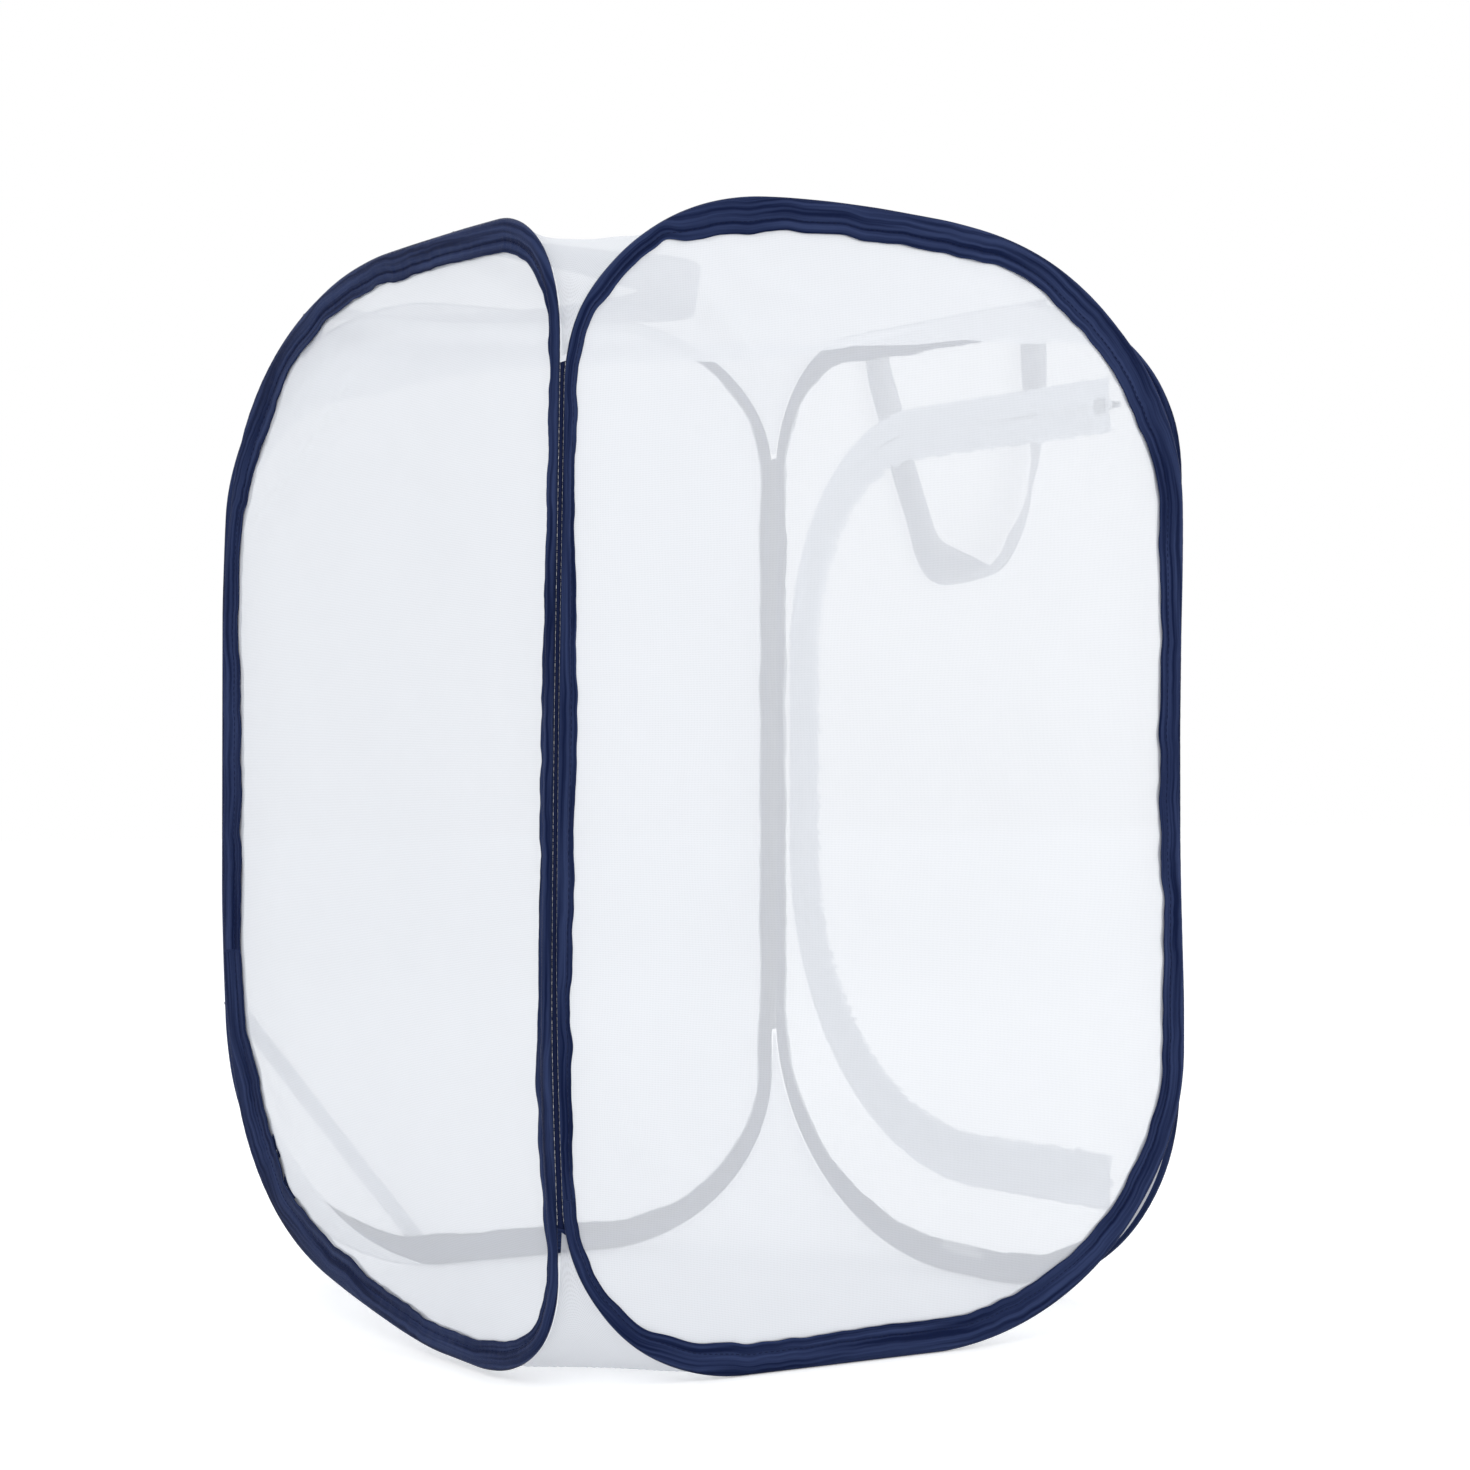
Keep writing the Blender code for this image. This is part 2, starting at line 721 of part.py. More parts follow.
def tab_out(side):
    """How far out of a hoop's plane the middle of its handle's tabs is."""
    half = HANDLE_TAB_LAYERS * WEBBING_THICKNESS / 2
    return BINDING_FOLD_RADIUS + CLEARANCE + half if side == "right" else -INNER_TAB_FACE - half


def handle_out(side):
    """How far out of a hoop's plane a handle turns: in front of the right one's tabs, where it
    hangs, and over the left one's, with the top net between."""
    if side == "left":
        return tab_out(side)
    return tab_out(side) + (HANDLE_TAB_LAYERS + 1) * WEBBING_THICKNESS / 2 + CLEARANCE


def handle_rise(side):
    """From the hoop's outer edge up to the line that its handle turns about."""
    lift = CLEARANCE + WEBBING_THICKNESS / 2
    if side == "left":
        return lift + NET_THICKNESS / 2 - NET_EDGE_DEPTH
    return lift + (handle_out(side) + BINDING_FOLD_RADIUS) * math.tan(HANDLE_SLOPE)


def handle_frame(side, middle):
    """The middle of the line that a handle turns about, as (along, up), and how steep that line is.
    It is as steep as the hoop between the legs."""
    reach = HANDLE_HALF_SPAN - WEBBING_WIDTH / 2
    first, last = top_edge(side, middle - reach), top_edge(side, middle + reach)
    up = (first + last) / 2 + handle_rise(side)
    return (middle, up), math.atan2(last - first, 2 * reach)


def smooth_line(points, steps):
    """A smooth line through points, with even steps from each to the next."""
    line = [Vector(p) for p in points]
    found = []
    for i in range(len(line) - 1):
        before = line[max(i - 1, 0)]
        start, end = line[i], line[i + 1]
        after = line[min(i + 2, len(line) - 1)]
        for k in range(steps):
            t = k / steps
            slope_in = (end - before) / 2
            slope_out = (after - start) / 2
            found.append(
                start * (2 * t**3 - 3 * t**2 + 1)
                + slope_in * (t**3 - 2 * t**2 + t)
                + end * (3 * t**2 - 2 * t**3)
                + slope_out * (t**3 - t**2)
            )
    return [*found, line[-1]]


def handle_rings(shares, reach, lifted):
    """A loop of webbing: rings of (along the turning line, away from it, out of the loop's plane).
    The legs are flat and the bend is twisted, and it lifts the loop off the side behind it."""
    points = []
    for along_share, away_share, twist_share in shares:
        twist = twist_share * math.pi / 2
        points.append((along_share * HANDLE_HALF_SPAN, away_share * reach, twist))
    line = smooth_line(points, HANDLE_STEPS)
    rings = []
    for i, here in enumerate(line):
        before, after = line[max(i - 1, 0)], line[min(i + 1, len(line) - 1)]
        tangent = Vector((after.x - before.x, after.y - before.y, 0.0)).normalized()
        across = Vector((tangent.y, -tangent.x, 0.0))
        spread = across * math.cos(here.z) + Vector((0.0, 0.0, math.sin(here.z)))
        through = tangent.cross(spread)
        lift = WEBBING_WIDTH / 2 * math.sin(here.z) if lifted else 0.0
        middle = Vector((here.x, here.y, lift))
        ring = []
        for wide, thick in ((-1, -1), (1, -1), (1, 1), (-1, 1)):
            ring.append(
                middle
                + spread * (wide * WEBBING_WIDTH / 2)
                + through * (thick * WEBBING_THICKNESS / 2)
            )
        rings.append(ring)
    return rings


def make_handle(side, middle, shapes, turned, finish):
    """A handle, with its loop turned about its line by an angle up from hanging."""
    (along, up), steepness = handle_frame(side, middle)
    rings = []
    for shape in shapes:
        ring = []
        for on_line, away, off in shape:
            down = away * math.cos(turned) + off * math.sin(turned)
            out = off * math.cos(turned) - away * math.sin(turned)
            on_side = along + on_line * math.cos(steepness) + down * math.sin(steepness)
            height_up = up + on_line * math.sin(steepness) - down * math.cos(steepness)
            ring.append(place(side, on_side, handle_out(side) + out, height_up))
        rings.append(ring)
    origin = place(side, along, handle_out(side), up)
    return make_object(f"handle_{side}", *loft(rings, False), finish, origin)


def make_handle_tabs(side, middle, finish):
    """The folded ends of the webbing, sewn to one face of the hoop's binding."""
    thickness = HANDLE_TAB_LAYERS * WEBBING_THICKNESS
    for name, sign, drop in zip(("first", "last"), (-1, 1), HANDLE_TAB_DROPS[side]):
        leg = middle + sign * HANDLE_HALF_SPAN
        low, high = leg - WEBBING_WIDTH / 2, leg + WEBBING_WIDTH / 2
        low_up = top_edge(side, low) - drop
        high_up = top_edge(side, high) - drop
        outline = [
            (low, low_up - HANDLE_TAB_HEIGHT),
            (high, high_up - HANDLE_TAB_HEIGHT),
            (high, high_up),
            (low, low_up),
        ]
        shape = plate(side, [outline], tab_out(side), thickness)
        make_object(f"handle_tab_{side}_{name}", *shape, finish)


def make_strap(finish):
    """The storage strap, straight across the lower corner at the back's last seam, outside."""
    half = half_width("back")
    upper = Vector((half - STRAP_END_DEPTH, STRAP_UPRIGHT_END))
    lower = Vector((half - STRAP_LOWER_END, STRAP_END_DEPTH))
    across = (upper - lower).normalized()
    sideways = Vector((-across.y, across.x)) * STRAP_WIDTH / 2
    outline = [tuple(p) for p in (upper + sideways, lower + sideways, lower - sideways)]
    outline.append(tuple(upper - sideways))
    out = BINDING_FOLD_RADIUS + CLEARANCE + STRAP_THICKNESS / 2
    shape = plate("back", [outline], out, STRAP_THICKNESS)
    return make_object("storage_strap", *shape, finish)


def seam_ends(side, following):
    """How high the seam between two sides begins and ends."""
    bottom = max(corner(side, 1)[1], corner(following, 0)[1])
    top = min(height(side) - corner(side, 2)[1], height(following) - corner(following, 3)[1])
    return bottom, top


def seam_place(side, following):
    """The upright line that two hoops turn about."""
    reach = half_depth(following) - HINGE_OFFSET
    inset = half_depth(side) - HINGE_OFFSET
    x, y = spin(side, reach, -inset)
    return Vector((x, y, 0.0))


def make_seam(side, following, name, finish):
    """The cord of stitches that joins two bindings, on the line that they turn about."""
    centre = seam_place(side, following)
    rings = []
    for up in seam_ends(side, following):
        ring = []
        for k in range(SEAM_CORD_SIDES):
            angle = 2 * math.pi * k / SEAM_CORD_SIDES
            offset = Vector((math.cos(angle), math.sin(angle), 0.0)) * SEAM_CORD_RADIUS
            ring.append(centre + offset + Vector((0.0, 0.0, up)))
        rings.append(ring)
    return make_object(name, *loft(rings, False), finish, centre)


def evenly(points, cells):
    """A line of points, as equally long steps along it."""
    line = np.array([tuple(p) for p in points])
    steps = np.linalg.norm(np.diff(line, axis=0), axis=1)
    reach = np.concatenate(([0.0], np.cumsum(steps)))
    wanted = np.linspace(0.0, reach[-1], cells + 1)
    return np.stack([np.interp(wanted, reach, line[:, k]) for k in range(3)], axis=1)


def net_edge(side, at_top):
    """The edge of the top or floor net along one side, from the side's first seam to its last."""
    index = SIDE_ORDER.index(side)
    before, after = SIDE_ORDER[index - 1], SIDE_ORDER[(index + 1) % len(SIDE_ORDER)]
    arcs = hoop_quarters(side)
    stations = list(reversed(arcs[3])) + list(reversed(arcs[2])) if at_top else arcs[0] + arcs[1]
    line = []
    ends = []
    for along_sign, neighbour in ((-1, before), (1, after)):
        bottom, top = seam_ends(side, after) if along_sign > 0 else seam_ends(before, side)
        up = top + NET_CORNER_RISE if at_top else bottom - NET_CORNER_RISE
        reach = half_depth(neighbour) + NET_EDGE_OUT
        ends.append(place(side, along_sign * reach, NET_EDGE_OUT, up))
    for station in stations:
        along, up = inward(station, NET_EDGE_DEPTH)
        corner_up = ends[0].z if along < 0 else ends[1].z
        if (up > corner_up) == at_top:
            line.append(place(side, along, NET_EDGE_OUT, up))
    return evenly([ends[0], *line, ends[1]], NET_CELLS)


def relaxed(edges, load):
    """A grid stretched between four edges like a soap film, and pulled down by a load."""
    front, right, back, left = edges
    size = NET_CELLS + 1
    grid = np.zeros((size, size, 3))
    share = np.linspace(0.0, 1.0, size)[:, None]
    for row in range(size):
        weight = row / NET_CELLS
        start, end = left[::-1][row], right[row]
        grid[row] = start * (1 - share) + end * share
        if row in (0, NET_CELLS):
            grid[row] = front if weight == 0 else back[::-1]
    for _ in range(RELAX_ROUNDS):
        middle = (grid[:-2, 1:-1] + grid[2:, 1:-1] + grid[1:-1, :-2] + grid[1:-1, 2:]) / 4
        middle[:, :, 2] -= load
        grid[1:-1, 1:-1] = middle
    return grid


def sagging(edges, sag):
    """The stretched grid, with its middle lowered by the sag."""
    level = relaxed(edges, 0.0)
    loaded = relaxed(edges, CLEARANCE)
    shape = level[:, :, 2] - loaded[:, :, 2]
    deepest = shape[NET_CELLS // 2, NET_CELLS // 2]
    level[:, :, 2] -= shape * (sag / deepest)
    return level


def thickened(grid, thickness):
    """A closed sheet with the grid through its middle."""
    size = grid.shape[0]
    across = np.gradient(grid, axis=1)
    along = np.gradient(grid, axis=0)
    normals = np.cross(across, along)
    normals /= np.linalg.norm(normals, axis=2, keepdims=True)
    points = np.concatenate(
        [(grid + normals * thickness / 2), (grid - normals * thickness / 2)]
    ).reshape(-1, 3)
    count = size * size
    index = np.arange(count).reshape(size, size)
    cells = np.stack([index[:-1, :-1], index[:-1, 1:], index[1:, 1:], index[1:, :-1]], axis=2)
    faces = []
    for cell in cells.reshape(-1, 4).tolist():
        faces.append(tuple(cell))
        faces.append(tuple(count + i for i in reversed(cell)))
    rim = [*index[0], *index[1:, -1], *index[-1, -2::-1], *index[-2:0:-1, 0]]
    rim = [int(i) for i in rim]
    for i, here in enumerate(rim):
        there = rim[(i + 1) % len(rim)]
        faces.append((here, there, there + count, here + count))
    return [tuple(p) for p in points], faces


def make_top_net(finish):
    """The top net, which sags in the middle and stands up in its four corners."""
    edges = [net_edge(side, True) for side in SIDE_ORDER]
    grid = sagging(edges, TOP_SAG)
    share = np.linspace(0.0, 1.0, NET_CELLS + 1)
    into_corner = np.minimum(share, 1.0 - share) / TOP_CORNER_SHARE
    wave = np.sin(np.pi * np.minimum(into_corner, 1.0))
    grid[:, :, 2] += TOP_CORNER_LIFT * np.outer(wave, wave)
    return make_object("net_top", *thickened(grid, NET_THICKNESS), finish)


def make_floor_net(finish):
    """The floor net, which lies on the ground in the middle."""
    edges = [net_edge(side, False) for side in SIDE_ORDER]
    grid = sagging(edges, FLOOR_SAG)
    grid[:, :, 2] = np.maximum(grid[:, :, 2], NET_THICKNESS / 2)
    return make_object("net_floor", *thickened(grid, NET_THICKNESS), finish)


def make_sides():
    for side in SIDE_ORDER:
        make_binding(side, satin())
        make_wire(side, steel())
        make_ferrule(side, steel())
        if side != "right":
            shape = plate(side, [net_outline(side)], 0.0, NET_THICKNESS)
            make_object(f"net_{side}", *shape, net())
    make_right_net(net())


def make_seams():
    for i, side in enumerate(SIDE_ORDER):
        following = SIDE_ORDER[(i + 1) % len(SIDE_ORDER)]
        make_seam(side, following, f"seam_{side}_{following}", thread())


def main():
    clear_scene()
    make_sides()
    make_seams()
    make_top_net(net())
    make_floor_net(net())
    make_door(net(), zip_tape())
    make_fixed_zip(zip_tape())
    make_slider(plated())
    make_pull(plated())
    hanging = handle_rings(RIGHT_HANDLE_SHARES, RIGHT_HANDLE_DROP, True)
    make_handle("right", RIGHT_HANDLE_MIDDLE, hanging, 0.0, webbing())
    lying = handle_rings(LEFT_HANDLE_SHARES, LEFT_HANDLE_REACH, False)
    over = math.pi / 2 - HANDLE_SLOPE
    make_handle("left", LEFT_HANDLE_MIDDLE, lying, over, webbing())
    make_handle_tabs("right", RIGHT_HANDLE_MIDDLE, webbing())
    make_handle_tabs("left", LEFT_HANDLE_MIDDLE, webbing())
    make_strap(strap_tape())


main()
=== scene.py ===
import math

import bmesh
import bpy
import numpy as np
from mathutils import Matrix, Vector


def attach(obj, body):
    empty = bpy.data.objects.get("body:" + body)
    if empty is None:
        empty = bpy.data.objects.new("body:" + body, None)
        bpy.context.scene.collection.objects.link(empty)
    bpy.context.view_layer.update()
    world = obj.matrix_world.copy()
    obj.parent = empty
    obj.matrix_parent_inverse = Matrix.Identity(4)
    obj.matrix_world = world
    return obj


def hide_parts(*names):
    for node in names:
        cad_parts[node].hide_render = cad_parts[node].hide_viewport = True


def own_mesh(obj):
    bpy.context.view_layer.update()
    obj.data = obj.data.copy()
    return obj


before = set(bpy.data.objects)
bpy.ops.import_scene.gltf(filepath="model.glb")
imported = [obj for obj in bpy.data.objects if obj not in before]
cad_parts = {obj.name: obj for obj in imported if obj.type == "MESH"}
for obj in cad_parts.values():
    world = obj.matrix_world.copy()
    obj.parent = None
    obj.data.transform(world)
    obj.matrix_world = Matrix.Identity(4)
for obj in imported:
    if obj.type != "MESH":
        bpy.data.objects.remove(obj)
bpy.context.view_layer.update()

# The cage, as in the CAD source, in metres
CAGE_WIDTH = 0.400
CAGE_DEPTH = 0.410
FRONT_BACK_HEIGHT = 0.600
SIDE_HEIGHT = 0.588
CLEARANCE = 0.0003
NET_THICKNESS = 0.0004
BINDING_THICKNESS = 0.0006
WEBBING_THICKNESS = 0.0012
WEBBING_WIDTH = 0.025
FOLD_RADIUS = 0.0025
LEAST_WIDTH = 0.0055
WIRE_RADIUS = 0.0009
WIRE_DEPTH = 0.0025322
FERRULE_RADIUS = 0.0015
FERRULE_BORE = 0.0012
FERRULE_LENGTH = 0.018
SEAM_CORD_RADIUS = 0.00075
SEAM_REACH = 0.0035
HINGE_OFFSET = 0.0026
FOLD_DEPTH = 0.0023776
NET_DEPTH = 0.0086
LEG_INNER = NET_THICKNESS / 2 + CLEARANCE
LEG_OUTER = LEG_INNER + BINDING_THICKNESS
HOOP_INSET = 2 * HINGE_OFFSET - FOLD_DEPTH
NET_CORNER_RISE = 0.015
TOP_CORNER_LIFT = 0.013
TOP_CORNER_SHARE = 0.25
NET_EDGE_DEPTH = 0.0015
NET_EDGE_OUT = -(FOLD_RADIUS + CLEARANCE + NET_THICKNESS / 2)
TOP_SAG = 0.025
FLOOR_SAG = 0.060
CORNER_SHARES = {
    "front": ((0.27, 0.159), (0.44, 0.250), (0.42, 0.238), (0.298, 0.170)),
    "right": ((0.41, 0.228), (0.49, 0.255), (0.21, 0.145), (0.41, 0.228)),
    "back": ((0.33, 0.183), (0.38, 0.267), (0.38, 0.233), (0.33, 0.155)),
    "left": ((0.71, 0.340), (0.20, 0.100), (0.145, 0.110), (0.542, 0.328)),
}
SIDES = ("front", "right", "back", "left")
TURNS = {"front": 0, "right": 1, "back": 2, "left": 3}

ZIP_TOP_MARGIN = 0.069
ZIP_BOTTOM_HEIGHT = 0.071
ZIP_BACK_MARGIN = 0.030
ZIP_END_MARGIN = 0.061
DOOR_HINGE_MARGIN = 0.082
ZIP_TOP_CORNER = (0.42, 0.30)
ZIP_LOW_CORNER = (0.64, 0.42)
ZIP_TAPE_WIDTH = 0.016
ZIP_TAPE_THICKNESS = 0.0005
ZIP_HALF_GAP = 0.0007
TOOTH_PITCH = 0.0026

HANDLE_HALF_SPAN = 0.0795
RIGHT_HANDLE_MIDDLE = 0.015
LEFT_HANDLE_MIDDLE = -0.0045
RIGHT_HANDLE_DROP = 0.1595
LEFT_HANDLE_REACH = 0.175
HANDLE_SLOPE = math.radians(3.0)
TAB_HEIGHTS = {"right": 0.016, "left": 0.011}
TAB_LAYERS = 2
INNER_TAB_FACE = 0.0026
TAB_DROPS = {"right": (0.0005, 0.0005), "left": (0.0052, 0.0035)}
RIGHT_HANDLE = (
    (1.0, 0.0, 0.0),
    (1.0, 0.15, 0.0),
    (0.815, 0.371, 0.0),
    (0.633, 0.597, 0.02),
    (0.425, 0.809, 0.02),
    (0.24, 0.944, -0.14),
    (-0.11, 1.0, -0.70),
    (-0.34, 0.975, -0.54),
    (-0.58, 0.928, -0.31),
    (-0.74, 0.834, -0.33),
    (-0.825, 0.75, -0.37),
    (-0.865, 0.676, -0.37),
    (-0.94, 0.57, -0.30),
    (-1.0, 0.33, -0.06),
    (-1.0, 0.1, 0.0),
    (-1.0, 0.0, 0.0),
)
LEFT_HANDLE = (
    (1.0, 0.0, 0.0),
    (1.0, 0.1, 0.0),
    (1.0, 0.33, -0.08),
    (0.98, 0.57, -0.22),
    (0.94, 0.78, -0.50),
    (0.84, 0.93, -0.80),
    (0.62, 1.0, -0.92),
    (0.40, 0.97, -0.85),
    (0.06, 0.87, -0.58),
    (-0.38, 0.67, -0.36),
    (-0.74, 0.42, -0.28),
    (-0.93, 0.20, -0.12),
    (-1.0, 0.08, 0.0),
    (-1.0, 0.0, 0.0),
)
STRAP_WIDTH = 0.010
STRAP_THICKNESS = 0.0005
STRAP_UPRIGHT_END = 0.172
STRAP_LOWER_END = 0.142
STRAP_END_DEPTH = 0.006

# Finer sizes of the sewing, the zip and the tabs
STITCH_COLUMN = 9  # of a tape's face, where its stitches are
STITCH_PITCH = 0.0036
STITCH_SHARE = 0.62
STITCH_RADIUS = 0.00022
WHIP_PITCH = 0.0016
WHIP_RADIUS = 0.0004
BOX_STITCH_PITCH = 0.0025
BOX_STITCH_RADIUS = 0.00024
ZIP_STEP = 0.0012
GATHER_PERIOD = 0.9
TOOTH_OVERLAP = 0.00030
TOOTH_REACH = 0.0026
TOOTH_LIFT = 0.00045
TOOTH_FAR_LIFT = 0.00030
TOOTH_RADIUS = 0.00042
TAB_BEVEL = 0.0004
TAB_ROUNDING = 0.0012
NET_PITCH = 0.0009
BAR_SIDES = 6
BAR_STAGES = ((0.0, 0.45), (0.12, 0.9), (0.5, 1.0), (0.88, 0.9), (1.0, 0.45))
LEAST_AREA_SHARE = 0.301  # of a sheet's cut in its width by length
FLOOR_REACH = 12
FLOOR_DROP = 0.0002

# How the sewn hoops depart from even ellipses: (share of the hoop's length, mm). Share 0 is where
# the first upright starts to curve into the bottom, and the shares run along the bottom, up the
# last upright and back over the top. Outward in the side's plane:
DRIFT = {
    "front": (
        (0.0, 0.8), (0.017, 0.2), (0.033, -0.5), (0.05, 0.3), (0.067, 0.0), (0.25, 0.5),
        (0.267, 1.5), (0.283, 3.2), (0.30, 4.2), (0.317, 4.2), (0.333, 3.2), (0.35, 2.2),
        (0.367, 1.6), (0.40, 1.6), (0.433, 2.6), (0.45, 3.6), (0.467, 4.0), (0.483, 3.4),
        (0.50, 2.0), (0.517, 1.0), (0.533, -0.4), (0.567, 0.6), (0.60, 0.4), (0.617, 2.2),
        (0.633, 3.8), (0.65, 4.4), (0.667, 3.8), (0.683, 1.8), (0.70, 0.3), (0.717, -0.9),
        (0.733, -1.2), (0.75, 0.3), (0.767, 0.0), (0.80, 1.0), (0.833, 2.2), (0.867, 3.2),
        (0.90, 3.8), (0.933, 4.4), (0.96, 3.6), (0.983, 2.2),
    ),
    "left": (
        (0.0, 0.0), (0.05, 0.0), (0.067, 2.5), (0.083, 4.5), (0.10, 4.8), (0.117, 3.0),
        (0.133, 0.0), (0.15, -3.8), (0.167, -6.0), (0.183, -6.5), (0.20, -5.5), (0.217, -3.8),
        (0.233, -3.0), (0.25, -2.0), (0.267, 0.0), (0.283, 1.5), (0.30, 0.0), (0.583, 0.5),
        (0.60, 1.2), (0.617, 0.8), (0.633, 1.2), (0.65, 1.4), (0.683, 0.9), (0.70, 0.3),
        (0.717, -0.5), (0.75, 0.0), (0.767, 1.6), (0.783, 3.2), (0.80, 4.5), (0.817, 4.5),
        (0.833, 1.6), (0.85, 0.0),
    ),
    "back": (
        (0.0, 0.0), (0.23, 0.0), (0.26, -2.4), (0.30, -3.2), (0.33, -1.0), (0.35, 0.0),
        (0.45, 0.0), (0.475, -1.5), (0.50, -3.8), (0.53, -3.6), (0.56, -1.5), (0.59, 0.0),
    ),
    "right": (
        (0.0, -4.0), (0.03, -2.0), (0.06, 0.0), (0.69, 0.0), (0.72, 1.5), (0.75, 4.5),
        (0.77, 4.8), (0.79, 2.5), (0.80, 0.5), (0.817, -3.5), (0.838, -3.6), (0.8555, -2.7),
        (0.889, -1.7), (0.922, -1.7), (0.939, -2.3), (0.956, -3.3), (0.9735, -4.4),
        (0.99, -4.4),
    ),
}
# Out of the side's plane:
SWAY = {
    "left": (
        (0.0, -4.0), (0.017, -4.0), (0.033, -3.0), (0.05, -1.0), (0.067, 0.0), (0.30, 0.2),
        (0.317, 0.8), (0.333, 2.0), (0.35, 3.2), (0.367, 4.0), (0.383, 4.4), (0.40, 4.2),
        (0.433, 3.7), (0.467, 3.1), (0.50, 2.1), (0.533, 1.0), (0.567, 0.0), (0.833, 0.0),
        (0.85, -2.0), (0.867, -3.0), (0.883, -3.2), (0.90, -2.6), (0.95, -2.6), (0.983, -3.4),
    ),
    "right": (
        (0.0, 3.5), (0.03, 3.0), (0.06, 1.0), (0.09, 0.0), (0.70, 0.0), (0.73, 1.5),
        (0.76, 4.5), (0.785, 6.0), (0.805, 4.5), (0.83, 3.0), (0.86, 2.4), (0.96, 2.4),
        (0.985, 3.0),
    ),
}
# How wide the tape shows:
WIDTHS = {
    "front": (
        (0.0, 6.5), (0.017, 7.0), (0.033, 7.9), (0.05, 11.0), (0.067, 15.1), (0.083, 16.9),
        (0.10, 15.6), (0.117, 16.8), (0.133, 17.5), (0.20, 17.5), (0.25, 16.0), (0.283, 15.5),
        (0.30, 16.0), (0.317, 15.0), (0.333, 13.5), (0.35, 13.3), (0.367, 14.4), (0.40, 15.0),
        (0.433, 14.5), (0.45, 16.2), (0.467, 17.6), (0.483, 17.8), (0.50, 20.4),
        (0.517, 21.6), (0.533, 20.0), (0.55, 19.4), (0.567, 17.3), (0.583, 15.8), (0.60, 17.8),
        (0.633, 18.0), (0.65, 17.3), (0.667, 18.0), (0.683, 18.5), (0.70, 16.4),
        (0.706, 15.5), (0.711, 9.6), (0.717, 9.2), (0.733, 8.4), (0.75, 7.8), (0.767, 7.0),
        (0.78, 5.8), (0.80, 5.6), (0.833, 7.8), (0.867, 9.6), (0.90, 8.4), (0.933, 7.8),
        (0.96, 6.4), (0.983, 5.6),
    ),
    "left": (
        (0.0, 15.0), (0.017, 15.5), (0.033, 17.0), (0.05, 20.4), (0.067, 21.2), (0.083, 21.0),
        (0.10, 20.8), (0.117, 20.5), (0.133, 21.0), (0.15, 19.3), (0.167, 17.0),
        (0.183, 15.8), (0.20, 15.4), (0.217, 13.9), (0.233, 13.5), (0.25, 15.0),
        (0.267, 14.1), (0.283, 10.2), (0.30, 7.6), (0.317, 6.6), (0.333, 10.0), (0.35, 12.0),
        (0.367, 11.0), (0.383, 9.2), (0.40, 8.2), (0.433, 8.2), (0.467, 8.4), (0.483, 7.0),
        (0.50, 7.4), (0.517, 5.8), (0.533, 6.4), (0.55, 5.6), (0.567, 5.6), (0.583, 7.5),
        (0.60, 12.9), (0.617, 17.2), (0.633, 17.8), (0.65, 16.6), (0.667, 16.3),
        (0.683, 16.9), (0.70, 16.6), (0.733, 16.5), (0.75, 16.8), (0.767, 17.5),
        (0.783, 18.5), (0.80, 19.3), (0.817, 19.4), (0.833, 14.5), (0.85, 11.6),
        (0.867, 12.0), (0.883, 13.0), (0.90, 15.0), (0.917, 16.6), (0.95, 16.8),
        (0.983, 15.7),
    ),
    "back": (
        (0.0, 10.0), (0.03, 12.0), (0.06, 15.0), (0.108, 19.0), (0.173, 19.0), (0.21, 17.0),
        (0.25, 13.5), (0.29, 11.3), (0.31, 11.0), (0.481, 11.0), (0.53, 14.0), (0.61, 16.0),
        (0.65, 11.0), (0.69, 7.5), (0.74, 7.5), (0.774, 8.5), (0.97, 8.5),
    ),
    "right": (
        (0.0, 11.0), (0.06, 15.0), (0.135, 19.0), (0.158, 19.0), (0.20, 17.0), (0.25, 13.0),
        (0.315, 9.0), (0.518, 8.5), (0.55, 11.0), (0.594, 17.0), (0.63, 19.0),
        (0.682, 19.0), (0.74, 15.0), (0.817, 11.0),
    ),
}
LEFT_LEAN = -0.25  # of the left tape's legs, toward the inside, at the back half of the hoop

# How finely the cloth is made
HOOP_STATIONS = 1000
NET_RINGS = 60
NET_SPOKES = 400
TOP_CELLS = 128


def spun(side, x, y):
    for _ in range(TURNS[side]):
        x, y = -y, x
    return x, y


def half_depth(side):
    return (CAGE_DEPTH if TURNS[side] % 2 == 0 else CAGE_WIDTH) / 2


def half_width(side):
    return (CAGE_WIDTH if TURNS[side] % 2 == 0 else CAGE_DEPTH) / 2 - HOOP_INSET


def tall(side):
    return FRONT_BACK_HEIGHT if TURNS[side] % 2 == 0 else SIDE_HEIGHT


def place(side, along, out, up):
    """Points of a side, from arrays along its hoop, out of its plane and up."""
    along, out, up = np.broadcast_arrays(
        np.asarray(along, float), np.asarray(out, float), np.asarray(up, float)
    )
    x, y = spun(side, along, -(half_depth(side) + out))
    return np.stack([x, y, up], axis=-1)


def outward(side):
    return place(side, 0, 1, 0) - place(side, 0, 0, 0)


def corner(side, index):
    run, rise = CORNER_SHARES[side][index]
    return run * 2 * half_width(side), rise * tall(side)


def quarter(centre, run, rise, start, facets):
    """A quarter of an ellipse: (along, up, outward along, outward up) in each row."""
    angle = start + math.pi / 2 * np.arange(facets + 1) / facets
    normal = np.stack([np.cos(angle) / run, np.sin(angle) / rise], axis=1)
    normal /= np.linalg.norm(normal, axis=1, keepdims=True)
    spots = np.stack([centre[0] + run * np.cos(angle), centre[1] + rise * np.sin(angle)], axis=1)
    return np.concatenate([spots, normal], axis=1)


